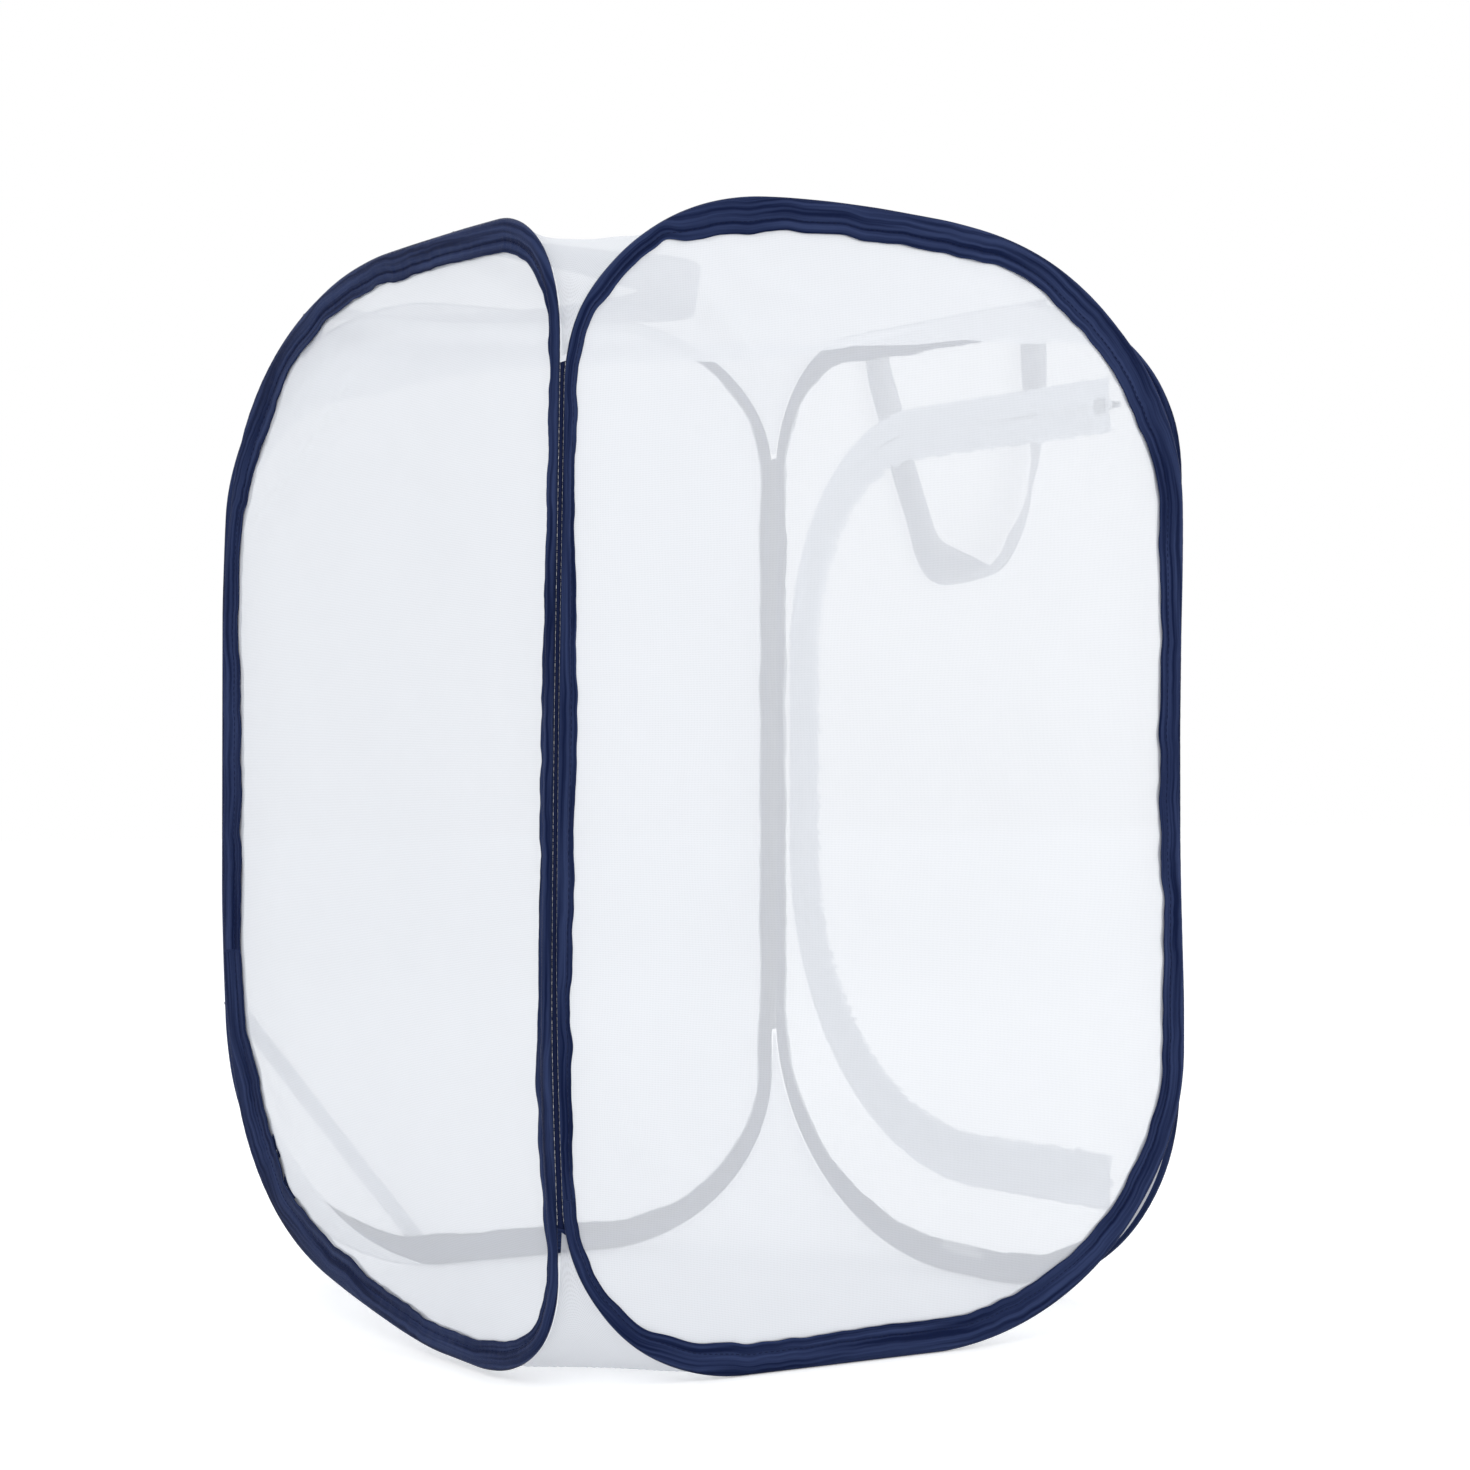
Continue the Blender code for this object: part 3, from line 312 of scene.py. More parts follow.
def hoop_quarters(side, facets=160):
    half, top = half_width(side), tall(side)
    arcs = []
    for index in range(4):
        run, rise = corner(side, index)
        along = half - run if index in (1, 2) else run - half
        up = rise if index < 2 else top - rise
        arcs.append(quarter((along, up), run, rise, math.pi + math.pi / 2 * index, facets))
    return arcs


def travelled(points):
    """The distance along a line, at each of its points."""
    steps = np.linalg.norm(np.diff(points, axis=0), axis=1)
    return np.concatenate([[0.0], np.cumsum(steps)])


def spaced(rows, count, closed):
    """Rows whose first two (or three) columns are a line, spread evenly along it."""
    wide = 2 if rows.shape[1] == 4 else 3
    line = np.concatenate([rows, rows[:1]]) if closed else rows
    reach = travelled(line[:, :wide])
    wanted = np.linspace(0.0, reach[-1], count + 1)
    if closed:
        wanted = wanted[:-1]
    found = np.stack([np.interp(wanted, reach, line[:, k]) for k in range(line.shape[1])], axis=1)
    if wide == 2:
        found[:, 2:] /= np.linalg.norm(found[:, 2:], axis=1, keepdims=True)
    return found, reach[-1]


def top_edge(side, along):
    half = half_width(side)
    run, rise = corner(side, 2 if along > 0 else 3)
    into = max(abs(along) - (half - run), 0.0) / run
    return tall(side) - rise * (1 - math.sqrt(1 - into**2))


def inward(rows, depth):
    return rows[..., 0] - rows[..., 2] * depth, rows[..., 1] - rows[..., 3] * depth


def from_table(table, s, length, spread=0.007):
    """Metres at places round a hoop, from a table of shares and millimetres, softened."""
    fine = np.arange(2000) / 2000
    shares, values = np.array(table).T
    line = np.interp(fine, shares, values, period=1.0)
    turns = np.fft.rfftfreq(2000, 1 / 2000)
    soft = np.exp(-2 * (math.pi * turns * spread / length) ** 2)
    line = np.fft.irfft(np.fft.rfft(line) * soft, 2000)
    return np.interp(s / length, fine, line, period=1.0) / 1000


def sewn(side, count):
    """Even places round a hoop as it is sewn: its outer edge, the distance along it, its length,
    the tape's width, how far out of the plane it lies and how much its legs lean out."""
    rows, length = spaced(np.concatenate(hoop_quarters(side)), count, True)
    s = np.arange(count) / count * length
    drift = from_table(DRIFT[side], s, length)
    sway = from_table(SWAY[side], s, length) if side in SWAY else np.zeros(count)
    wide = from_table(WIDTHS[side], s, length, 0.004)
    if side == "left":
        lean = LEFT_LEAN * ramp(-rows[:, 0], 0.10, 0.17)
    else:
        lean = np.zeros(count)
    level = rows[:, 3].copy()
    rows[:, :2] += rows[:, 2:] * drift[:, None]
    rows[:, 1] = np.maximum(rows[:, 1], 0.0)
    way = np.roll(rows[:, :2], -1, axis=0) - np.roll(rows[:, :2], 1, axis=0)
    way /= np.linalg.norm(way, axis=1, keepdims=True)
    rows[:, 2], rows[:, 3] = way[:, 1], -way[:, 0]
    return rows, s, length, wide, sway, lean, level


def ripple(seed, lengths, period):
    """A smooth random line of waves, each a whole number of times in the period."""
    rng = np.random.default_rng(seed)
    waves = []
    for length in lengths:
        for _ in range(3):
            turns = max(1, round(period / length * rng.uniform(0.75, 1.3)))
            waves.append((turns, rng.uniform(0, 2 * math.pi), rng.uniform(0.6, 1.0)))
    size = math.sqrt(sum(w[2] ** 2 for w in waves) / 2)

    def at(s):
        total = 0.0
        for turns, phase, tallness in waves:
            total = total + tallness * np.sin(2 * math.pi * turns * s / period + phase)
        return total / size

    return at


def swell(seed, low, high, count=14):
    """Smooth random waves over a flat sheet, between two wavelengths."""
    rng = np.random.default_rng(seed)
    waves = []
    for _ in range(count):
        heading, length = rng.uniform(0, math.pi), rng.uniform(low, high)
        waves.append(
            (math.cos(heading) / length, math.sin(heading) / length, rng.uniform(0, 2 * math.pi))
        )

    def at(x, y):
        total = 0.0
        for a, b, phase in waves:
            total = total + np.sin(2 * math.pi * (a * x + b * y) + phase)
        return total / math.sqrt(count / 2)

    return at


def ramp(x, low, high):
    t = np.clip((x - low) / (high - low), 0, 1)
    return t * t * (3 - 2 * t)


# Meshes


def made(name, points, faces, finish, uv=None, normals=None):
    """An object from an array of points, lists of faces and a UV for each point."""
    mesh = bpy.data.meshes.new(name)
    points = np.asarray(points, float).reshape(-1, 3)
    mesh.from_pydata(points.tolist(), [], faces.tolist() if hasattr(faces, "tolist") else faces)
    mesh.materials.append(finish)
    mesh.polygons.foreach_set("use_smooth", [True] * len(mesh.polygons))
    if uv is not None:
        layer = mesh.uv_layers.new(name="UVMap")
        corners = np.zeros(len(mesh.loops), np.int32)
        mesh.loops.foreach_get("vertex_index", corners)
        layer.data.foreach_set("uv", np.asarray(uv, np.float32).reshape(-1, 2)[corners].ravel())
    mesh.update()
    if normals is not None:
        mesh.normals_split_custom_set_from_vertices(normals.reshape(-1, 3).tolist())
    thing = bpy.data.objects.new(name, mesh)
    bpy.context.scene.collection.objects.link(thing)
    return thing


def grid_faces(rows, columns, wrap_rows=False, wrap_columns=False):
    index = np.arange(rows * columns).reshape(rows, columns)
    if wrap_rows:
        index = np.concatenate([index, index[:1]], axis=0)
    if wrap_columns:
        index = np.concatenate([index, index[:, :1]], axis=1)
    cells = np.stack([index[:-1, :-1], index[:-1, 1:], index[1:, 1:], index[1:, :-1]], axis=-1)
    return cells.reshape(-1, 4)


def capped(rows, columns):
    """The faces of a bar's skin, with both its ends closed."""
    faces = grid_faces(rows, columns, False, True).tolist()
    faces.append(tuple(range(columns)))
    faces.append(tuple(range((rows - 1) * columns, rows * columns)))
    return faces


def enclosed(loop):
    """The area inside a loop of (along, up)."""
    x, y = loop[:, 0], loop[:, 1]
    return 0.5 * abs(float(np.sum(x * np.roll(y, -1) - np.roll(x, -1) * y)))


def dress(thing, body, replaced=None):
    """Says which body a piece rides on and the CAD node it replaces."""
    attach(thing, body)
    if replaced:
        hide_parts(replaced)
    return thing


def outward_normals(thing):
    shape = bmesh.new()
    shape.from_mesh(thing.data)
    bmesh.ops.recalc_face_normals(shape, faces=shape.faces)
    shape.to_mesh(thing.data)
    shape.free()
    return thing


def bar(name, points, finish, uv=None):
    """A closed bar, from its rings of points."""
    points = np.asarray(points, float)
    return outward_normals(made(name, points, capped(*points.shape[:2]), finish, uv))


def capsules(name, starts, ends, radius, finish, across=None):
    """Short round bars between pairs of points, all in one mesh."""
    starts, ends = np.asarray(starts, float), np.asarray(ends, float)
    way = ends - starts
    way = way / np.linalg.norm(way, axis=1, keepdims=True)
    if across is None:
        across = np.where(np.abs(way[:, 2:]) > 0.9, [1.0, 0.0, 0.0], [0.0, 0.0, 1.0])
    first = np.cross(way, across)
    first /= np.linalg.norm(first, axis=1, keepdims=True)
    second = np.cross(way, first)
    rings = []
    for share, size in BAR_STAGES:
        for turn in 2 * math.pi * np.arange(BAR_SIDES) / BAR_SIDES:
            turned = first * math.cos(turn) + second * math.sin(turn)
            rings.append(starts + (ends - starts) * share + turned * radius * size)
    skin = capped(len(BAR_STAGES), BAR_SIDES)
    skin[-2] = skin[-2][::-1]
    bases = range(0, len(starts) * len(rings), len(rings))
    faces = [tuple(base + v for v in face) for base in bases for face in skin]
    return made(name, np.stack(rings, axis=1), faces, finish)


# Materials


class Finish:
    """The nodes of a material or of the world, with short ways to add and join them."""

    def __init__(self, owner):
        owner.use_nodes = True
        self.owner = owner
        self.nodes, self.links = owner.node_tree.nodes, owner.node_tree.links
        self.nodes.clear()

    def join(self, spot, value):
        if isinstance(value, (int, float)):
            spot.default_value = value
        else:
            self.links.new(value, spot)

    def add(self, kind, joined=(), **values):
        """A node. Joined gives what goes into its inputs, and in_NAME an input's own value."""
        one = self.nodes.new("ShaderNode" + kind)
        for key, value in values.items():
            if key.startswith("in_"):
                label = key[3:].replace("_", " ")
                one.inputs[int(label) if label.isdigit() else label].default_value = value
            else:
                setattr(one, key, value)
        for label, value in dict(joined).items():
            self.join(one.inputs[label], value)
        return one

    def maths(self, kind, *values):
        one = self.add("Math", operation=kind)
        for spot, value in zip(one.inputs, values):
            self.join(spot, value)
        return one.outputs[0]

    def uv(self):
        """Places on the cloth in metres: both, along it and across it."""
        where = self.add("UVMap").outputs[0]
        split = self.add("SeparateXYZ", {0: where})
        return where, split.outputs[0], split.outputs[1]

    def wave(self, along, pitch):
        return self.maths("SINE", self.maths("MULTIPLY_ADD", along, 2 * math.pi / pitch, 0.0))

    def noise(self, where, scale, detail):
        one = self.add("TexNoise", {"Vector": where}, in_Scale=scale, in_Detail=detail)
        return one.outputs[0]

    def ranged(self, value, low, high, to_low=0.0, to_high=1.0):
        one = self.add("MapRange", {0: value}, in_1=low, in_2=high, in_3=to_low, in_4=to_high)
        return one.outputs[0]

    def mix(self, share, first, second):
        return self.add("MixRGB", {0: share}, in_1=(*first, 1), in_2=(*second, 1)).outputs[0]

    def bump(self, height, strength, distance):
        one = self.add("Bump", {"Height": height}, in_Strength=strength, in_Distance=distance)
        return one.outputs[0]

    def blend(self, share, first, second):
        return self.add("MixShader", {0: share, 1: first, 2: second}).outputs[0]

    def direct(self):
        """1 for what the camera sees, also in gloss and through glass, and 0 for what lights."""
        rays = self.add("LightPath").outputs
        other = self.maths("MAXIMUM", rays["Is Glossy Ray"], rays["Is Transmission Ray"])
        return self.maths("MAXIMUM", rays["Is Camera Ray"], other)

    def end(self, shader, kind="Material"):
        self.add("Output" + kind, {"Surface": shader})
        return self.owner

    def principled(self, colour, height, strength, depth, **values):
        joined = {"Base Color": colour, "Normal": self.bump(height, strength, depth)}
        return self.end(self.add("BsdfPrincipled", joined, **values).outputs[0])


def satin_finish(name, colour, light_colour, roughness):
    """A closely woven shiny tape: fine ribs, slubs, and long lighter streaks along it that are
    painted highlights in its colour.
    """
    tree = Finish(bpy.data.materials.new(name))
    uv, along, across = tree.uv()
    long, narrow = tree.maths("MULTIPLY", along, 9.0), tree.maths("MULTIPLY", across, 420.0)
    painted_highlight_streaks = tree.noise(tree.add("CombineXYZ", {0: long, 1: narrow}).outputs[0], 1.0, 3.0)
    weave = tree.maths("MULTIPLY", tree.wave(along, 0.00045), tree.wave(across, 0.00035))
    return tree.principled(
        # The colour runs from the navy to light_colour in long streaks along the tape: painted
        # highlights.
        tree.mix(tree.ranged(painted_highlight_streaks, 0.36, 0.66), colour, light_colour),
        tree.maths("MULTIPLY_ADD", tree.noise(uv, 900.0, 2.0), 1.4, weave),
        0.35,
        0.00012,
        in_Roughness=roughness,
        in_Specular_IOR_Level=0.02,
        in_Specular_Tint=(0.62, 0.74, 1.0, 1.0),
    )


def net_finish(name, colour, hole, thread):
    """Fine woven mesh: white threads two ways, with little square holes between them."""
    tree = Finish(bpy.data.materials.new(name))
    uv, along, across = tree.uv()
    shift = tree.maths("MULTIPLY", tree.noise(uv, 60.0, 1.0), NET_PITCH * 0.5)
    covers = []
    for part in (along, across):
        wave = tree.wave(tree.maths("ADD", part, shift), NET_PITCH)
        covers.append(tree.ranged(wave, -0.35, 0.25))
    alpha = tree.ranged(tree.maths("MAXIMUM", *covers), 0.0, 1.0, hole, thread)
    tint = tree.mix(tree.noise(uv, 9.0, 3.0), [c * 0.97 for c in colour], colour)
    raised = tree.bump(tree.maths("MULTIPLY", *covers), 0.3, 0.0001)
    diffuse = tree.add("BsdfDiffuse", {0: tint, "Normal": raised}).outputs[0]
    through = tree.add("BsdfTranslucent", {0: tint}).outputs[0]
    clear = tree.add("BsdfTransparent").outputs[0]
    return tree.end(tree.blend(alpha, clear, tree.blend(0.35, diffuse, through)))


def woven_finish(name, colour, light_colour, pitch, roughness, depth):
    """Webbing or tape: a plain weave of thick threads, raised in a chequer."""
    tree = Finish(bpy.data.materials.new(name))
    uv, along, across = tree.uv()
    chequer = tree.maths("MULTIPLY", tree.wave(along, pitch), tree.wave(across, pitch * 1.3))
    height = tree.maths("MULTIPLY_ADD", tree.noise(uv, 1400.0, 2.0), 0.8, chequer)
    return tree.principled(
        tree.mix(tree.ranged(height, -0.8, 1.6), colour, light_colour),
        height,
        0.6,
        depth,
        in_Roughness=roughness,
        in_Sheen_Weight=0.25,
        in_Sheen_Roughness=0.5,
    )


def hard_finish(name, colour, roughness, metallic, scale, depth, shine=0.5):
    """Wire, plating, nylon or thread: a fine grain in colour and height."""
    tree = Finish(bpy.data.materials.new(name))
    grain = tree.noise(tree.add("TexCoord").outputs["Object"], scale, 3.0)
    return tree.principled(
        tree.mix(grain, [c * 0.82 for c in colour], colour),
        grain,
        0.3,
        depth,
        in_Roughness=roughness,
        in_Metallic=metallic,
        in_Specular_IOR_Level=shine,
    )


# Navy satin: the second colour is the painted highlight of its streaks.
SATIN = satin_finish("navy_satin", (0.0065, 0.012, 0.046), (0.034, 0.050, 0.126), 0.40)
NET = net_finish("white_net", (0.905, 0.92, 0.95), 0.62, 0.72)
DOOR_NET = net_finish("white_door_net", (0.93, 0.94, 0.955), 0.38, 0.50)
WEBBING = woven_finish(
    "navy_webbing", (0.020, 0.030, 0.085), (0.060, 0.085, 0.170), 0.0016, 0.62, 0.0002
)
ZIP_TAPE = woven_finish(
    "white_zip_tape", (0.74, 0.77, 0.82), (0.90, 0.92, 0.95), 0.0008, 0.7, 0.0001
)
STRAP = woven_finish("white_strap", (0.72, 0.75, 0.80), (0.90, 0.92, 0.95), 0.0010, 0.7, 0.0001)
NYLON = hard_finish("white_nylon", (0.86, 0.88, 0.92), 0.4, 0.0, 800.0, 0.00003)
THREAD = hard_finish("navy_thread", (0.009, 0.015, 0.055), 0.6, 0.0, 2500.0, 0.0001, 0.05)
STEEL = hard_finish("spring_steel", (0.45, 0.46, 0.48), 0.3, 1.0, 600.0, 0.00002)
PLATED = hard_finish("slider_plating", (0.42, 0.44, 0.47), 0.36, 0.85, 500.0, 0.00002)


# Bindings


def leg_out(depth, stitch):
    """How far out of the plane the tape's outer face lies, past the fold: a soft round tube as far
    as its stitches, then flat."""
    share = np.clip((depth - FOLD_RADIUS) / (stitch - FOLD_RADIUS), 0, 1)
    return LEG_OUTER + (FOLD_RADIUS - LEG_OUTER) * (1 - share**2.2)


def make_binding(side):
    """The tape round a hoop: its fold, then two legs, each with a groove at the stitches."""
    rows, s, length, wide, sway, lean, _ = sewn(side, HOOP_STATIONS)
    seed = 11 * TURNS[side]
    slow = ripple(seed + 1, (0.045, 0.08), length)(s)
    quick = ripple(seed + 2, (0.014, 0.022), length)(s)
    wide = np.maximum(wide + 0.0004 * slow + 0.00012 * quick, LEAST_WIDTH)
    stitch = 0.66 * wide
    angles = np.radians([0.0, 22.5, 45.0, 67.5, 90.0])
    leg, flange = stitch - 0.001, stitch + 0.001
    places = [FOLD_RADIUS + (leg - FOLD_RADIUS) * k for k in (0.3, 0.62)]
    places += [stitch + k for k in (-0.0010, -0.0005, 0.0, 0.0005, 0.0010)]
    places += [flange + (wide - flange) * k for k in (0.35, 0.7, 1.0)]
    fold_depths = [np.full(HOOP_STATIONS, FOLD_RADIUS * (1 - math.cos(a))) for a in angles]
    inner_depths = [wide, flange, np.full(HOOP_STATIONS, 0.0028)]
    faces_of, near_legs = [], []
    for sign in (1, -1):
        puckers = ripple(seed + 3 + sign, (0.0065, 0.010), length)(s)
        folds = ripple(seed + 5 + sign, (0.020, 0.034), length)(s)
        thinned = FOLD_RADIUS + 0.00004 * (puckers - 1.2)
        outs = [math.sin(a) * thinned for a in angles]
        for depth in places:
            out = leg_out(depth, stitch)
            out = out + 0.00010 * (puckers + 0.9) * np.exp(-(((depth - stitch) / 0.0035) ** 2))
            out = out + 0.00020 * (folds + 1.3) * ramp(depth, stitch, wide)
            out = out - 0.00022 * np.exp(-(((depth - stitch) / 0.0006) ** 2))
            outs.append(np.clip(out, LEG_OUTER - 0.0003, FOLD_RADIUS))
        faces_of.append((np.stack(fold_depths + places, 1), np.stack(outs, 1) * sign))
        level = np.ones(HOOP_STATIONS) * sign
        inner = (FOLD_RADIUS - BINDING_THICKNESS) * level
        inner_outs = [outs[-1] * sign - level * BINDING_THICKNESS, level * LEG_INNER, inner]
        near_legs.append((np.stack(inner_depths, 1), np.stack(inner_outs, 1)))
    # Round the section: out along one leg, round the fold, down the other and back inside
    (one, other), (near, far) = faces_of, near_legs
    depth, out = (
        np.concatenate([one[k][:, ::-1], other[k][:, 1:], far[k], near[k][:, ::-1]], axis=1)
        for k in (0, 1)
    )
    out = out + sway[:, None] + lean[:, None] * depth
    along, up = inward(rows[:, None, :], depth)
    points = place(side, along, out, np.maximum(up, 0.0))
    steps = np.hypot(np.diff(depth, axis=1), np.diff(out, axis=1))
    reach = np.concatenate([np.zeros((HOOP_STATIONS, 1)), np.cumsum(steps, axis=1)], axis=1)
    uv = np.stack([np.broadcast_to(s[:, None], reach.shape), reach], axis=-1)
    faces = grid_faces(HOOP_STATIONS, depth.shape[1], True, True)
    thing = outward_normals(made(f"tape_{side}", points, faces, SATIN, uv))
    dress(thing, side, f"binding_{side}")
    return rows, length, stitch, faces_of, sway, lean


def make_stitches(side, rows, length, stitch, faces_of, sway, lean):
    """The row of stitches through both legs, seen on both faces."""
    count = int(length / STITCH_PITCH)
    starts, ends = [], []
    for sign, (_, outs) in zip((1, -1), faces_of):
        for share, found in ((0.0, starts), (STITCH_SHARE, ends)):
            spot = (np.arange(count) + share) / count * HOOP_STATIONS
            low = spot.astype(int)
            part, high = spot - low, (low + 1) % HOOP_STATIONS
            row, depth, out = (
                one[low] + (one[high] - one[low]) * (part[:, None] if one.ndim > 1 else part)
                for one in (rows, stitch, outs[:, STITCH_COLUMN])
            )
            along, up = inward(row, depth)
            out = out + sway[low] + lean[low] * depth + sign * 0.00012
            found.extend(place(side, along, out, up))
    dress(capsules(f"stitches_{side}", starts, ends, STITCH_RADIUS, THREAD), side)


def tube(name, side, rows, sway, lean, radii, finish, replaced, closed=False):
    """A round bar in a hoop's fold along some of its places, or a sleeve of two radii."""
    turns = 2 * math.pi * np.arange(10) / 10
    loops = []
    for radius in radii:
        depth = WIRE_DEPTH + radius * np.cos(turns)[None, :]
        along, up = inward(rows[:, None, :], depth)
        out = radius * np.sin(turns)[None, :] + sway[:, None] + lean[:, None] * depth
        loop = place(side, along, out, up)
        loops.append(loop if len(loops) == 0 else loop[::-1])
    points = np.concatenate(loops)
    faces = grid_faces(len(points), 10, True, True) if closed else capped(len(points), 10)
    thing = made(name, points, faces, finish)
    dress(outward_normals(thing), side, replaced)


def make_wire(side):
    """The spring wire, round from one end to the other inside the sleeve."""
    rows, _, _, _, sway, lean, level = sewn(side, 480)
    middle = (corner(side, 0)[0] - corner(side, 1)[0]) / 2
    low = np.where(level < 0)[0]
    start = low[np.argmin(np.abs(rows[low, 0] - middle))]
    rows, sway, lean = (np.roll(one, -start, axis=0) for one in (rows, sway, lean))
    tube(f"spring_{side}", side, rows, sway, lean, (WIRE_RADIUS,), STEEL, f"wire_{side}")
    turned = [np.roll(one, 12, axis=0)[:25] for one in (rows, sway, lean)]
    wanted = np.linspace(middle - FERRULE_LENGTH / 2, middle + FERRULE_LENGTH / 2, 7)
    known = turned[0][:, 0]
    short = np.stack([np.interp(wanted, known, turned[0][:, k]) for k in range(4)], axis=1)
    held = [np.interp(wanted, known, one) for one in turned[1:]]
    radii = (FERRULE_RADIUS, FERRULE_BORE)
    tube(f"sleeve_{side}", side, short, *held, radii, STEEL, f"ferrule_{side}", True)


def fold_middle(side, at_last, heights):
    """The middle of a hoop's fold beside its first or last seam, at some heights."""
    rows, _, _, _, sway, _, _ = sewn(side, 2000)
    beside = (rows[:, 0] > 0) == at_last
    rows, sway = rows[beside], sway[beside]
    order = np.argsort(rows[:, 1])
    rows, sway = rows[order], sway[order]
    upright = np.abs(rows[:, 2]) > 0.5
    along, _ = inward(rows, FOLD_RADIUS)
    height = rows[upright, 1]
    return place(
        side,
        np.interp(heights, height, along[upright]),
        np.interp(heights, height, sway[upright]),
        heights,
    )


def make_seam(side, following, body):
    """The stitches that join two tapes down an upright corner, round a cord between them."""
    low, high = seam_ends(side, following)
    beyond = 0.85 * NET_CORNER_RISE
    heights = np.arange(low - beyond, high + beyond, WHIP_PITCH)
    one, other = fold_middle(side, True, heights), fold_middle(following, False, heights)
    between = other - one
    apart = np.linalg.norm(between, axis=1, keepdims=True)
    between = between / apart
    shift = np.array([0.0, 0.0, 0.0005]) * np.where(np.arange(len(heights)) % 2, 1, -1)[:, None]
    reach = FOLD_RADIUS - 0.0002
    starts, ends = one + between * reach - shift, other - between * reach + shift
    whip = capsules(f"whip_{side}_{following}", starts, ends, WHIP_RADIUS, THREAD)
    dress(whip, body)
    turns = 2 * math.pi * np.arange(8)[None, :, None] / 8
    middle = (one + other) / 2
    wide = np.clip(apart / 2 - FOLD_RADIUS - 0.0001, SEAM_CORD_RADIUS, SEAM_REACH)
    through = np.stack([-between[:, 1], between[:, 0], 0 * between[:, 0]], axis=1)
    across = (between * wide)[:, None] * np.cos(turns)
    points = middle[:, None] + across + through[:, None] * SEAM_CORD_RADIUS * np.sin(turns)
    cord = bar(f"seam_cord_{side}_{following}", points, THREAD)
    dress(cord, body, f"seam_{side}_{following}")


# Nets


def net_panel(name, side, outer, inner, body, replaced, seed, creases=(), held=None, finish=NET):
    """A net between two loops of (along, up), or from a loop to its middle. Held is how far out
    the tape lies, how much it leans and how wide it is, round the outer loop."""
    middle = outer.mean(axis=0) if inner is None else None
    share = np.linspace(0.0, 1.0, NET_RINGS + 1)[:, None, None]
    start = np.broadcast_to(middle, outer.shape) if inner is None else inner
    spots = start[None] * (1 - share) + outer[None] * share
    along, up = spots[..., 0], spots[..., 1]
    edge = 1 - ramp(share[..., 0], 0.90, 1.0)
    if inner is not None:
        edge = edge * ramp(share[..., 0], 0.0, 0.25)
    broad, fine = swell(seed, 0.10, 0.26), swell(seed + 1, 0.03, 0.06)
    out = 0.0009 * broad(along, up) + 0.00016 * fine(along, up)
    for (a0, u0), (a1, u1), tallness, width in creases:
        way = np.array([a1 - a0, u1 - u0])
        reach = np.linalg.norm(way)
        way /= reach
        on = (along - a0) * way[0] + (up - u0) * way[1]
        off = (along - a0) * -way[1] + (up - u0) * way[0]
        off = off + 0.004 * np.sin(on / reach * 5.0)
        ends = ramp(on, -0.02, 0.05) * (1 - ramp(on, reach - 0.05, reach + 0.02))
        out = out + tallness * ends * np.exp(-((off / width) ** 2))
    out = out * edge
    if held is not None:
        sway, lean, wide = held
        depth = NET_DEPTH + np.hypot(along - outer[:, 0], up - outer[:, 1])
        pulled = sway + lean * np.minimum(depth, wide)
        pulled = pulled * (1 - ramp(depth, wide, wide + 0.09))
        if inner is not None:
            pulled = pulled * ramp(share[..., 0], 0.25, 0.85)
        out = out + pulled
    points = place(side, along, out, up)
    faces = grid_faces(NET_RINGS + 1, outer.shape[0], False, True)
    uv = np.stack([along, up], axis=-1)
    thing = dress(made(name, points, faces, finish, uv), body, replaced)
    area = enclosed(outer) - (0.0 if inner is None else enclosed(inner))
    flat = tuple(float(reach) for reach in np.ptp(outer, axis=0))
    area = max(area, LEAST_AREA_SHARE * flat[0] * flat[1])


def hoop_outline(side):
    """The edge of a side's net between the tape's legs, and how the tape holds it."""
    rows, _, _, wide, sway, lean, _ = sewn(side, NET_SPOKES)
    wide = np.maximum(wide, LEAST_WIDTH)
    along, up = inward(rows, np.minimum(NET_DEPTH, wide - 0.002))
    return np.stack([along, up], axis=1), (sway, lean, wide)


# Zip


def zip_rows():
    """The zip's line, from its top end round the back to its bottom end."""
    half = half_width("right")
    end, back = -half + ZIP_END_MARGIN, half - ZIP_BACK_MARGIN
    top, bottom = tall("right") - ZIP_TOP_MARGIN, ZIP_BOTTOM_HEIGHT
    wide, high = back + half - DOOR_HINGE_MARGIN, top - bottom
    run_top, rise_top = wide * ZIP_TOP_CORNER[0], high * ZIP_TOP_CORNER[1]
    run_low, rise_low = wide * ZIP_LOW_CORNER[0], high * ZIP_LOW_CORNER[1]
    upper = quarter((back - run_top, top - rise_top), run_top, rise_top, 0.0, 120)
    lower = quarter((back - run_low, bottom + rise_low), run_low, rise_low, 1.5 * math.pi, 120)
    rows = np.concatenate(
        [[[end, top, 0.0, 1.0]], upper[::-1], lower[::-1], [[end, bottom, 0.0, -1.0]]]
    )
    return spaced(rows, int(travelled(rows[:, :2])[-1] / ZIP_STEP), False)[0]


def hinge_along():
    return -half_width("right") + DOOR_HINGE_MARGIN


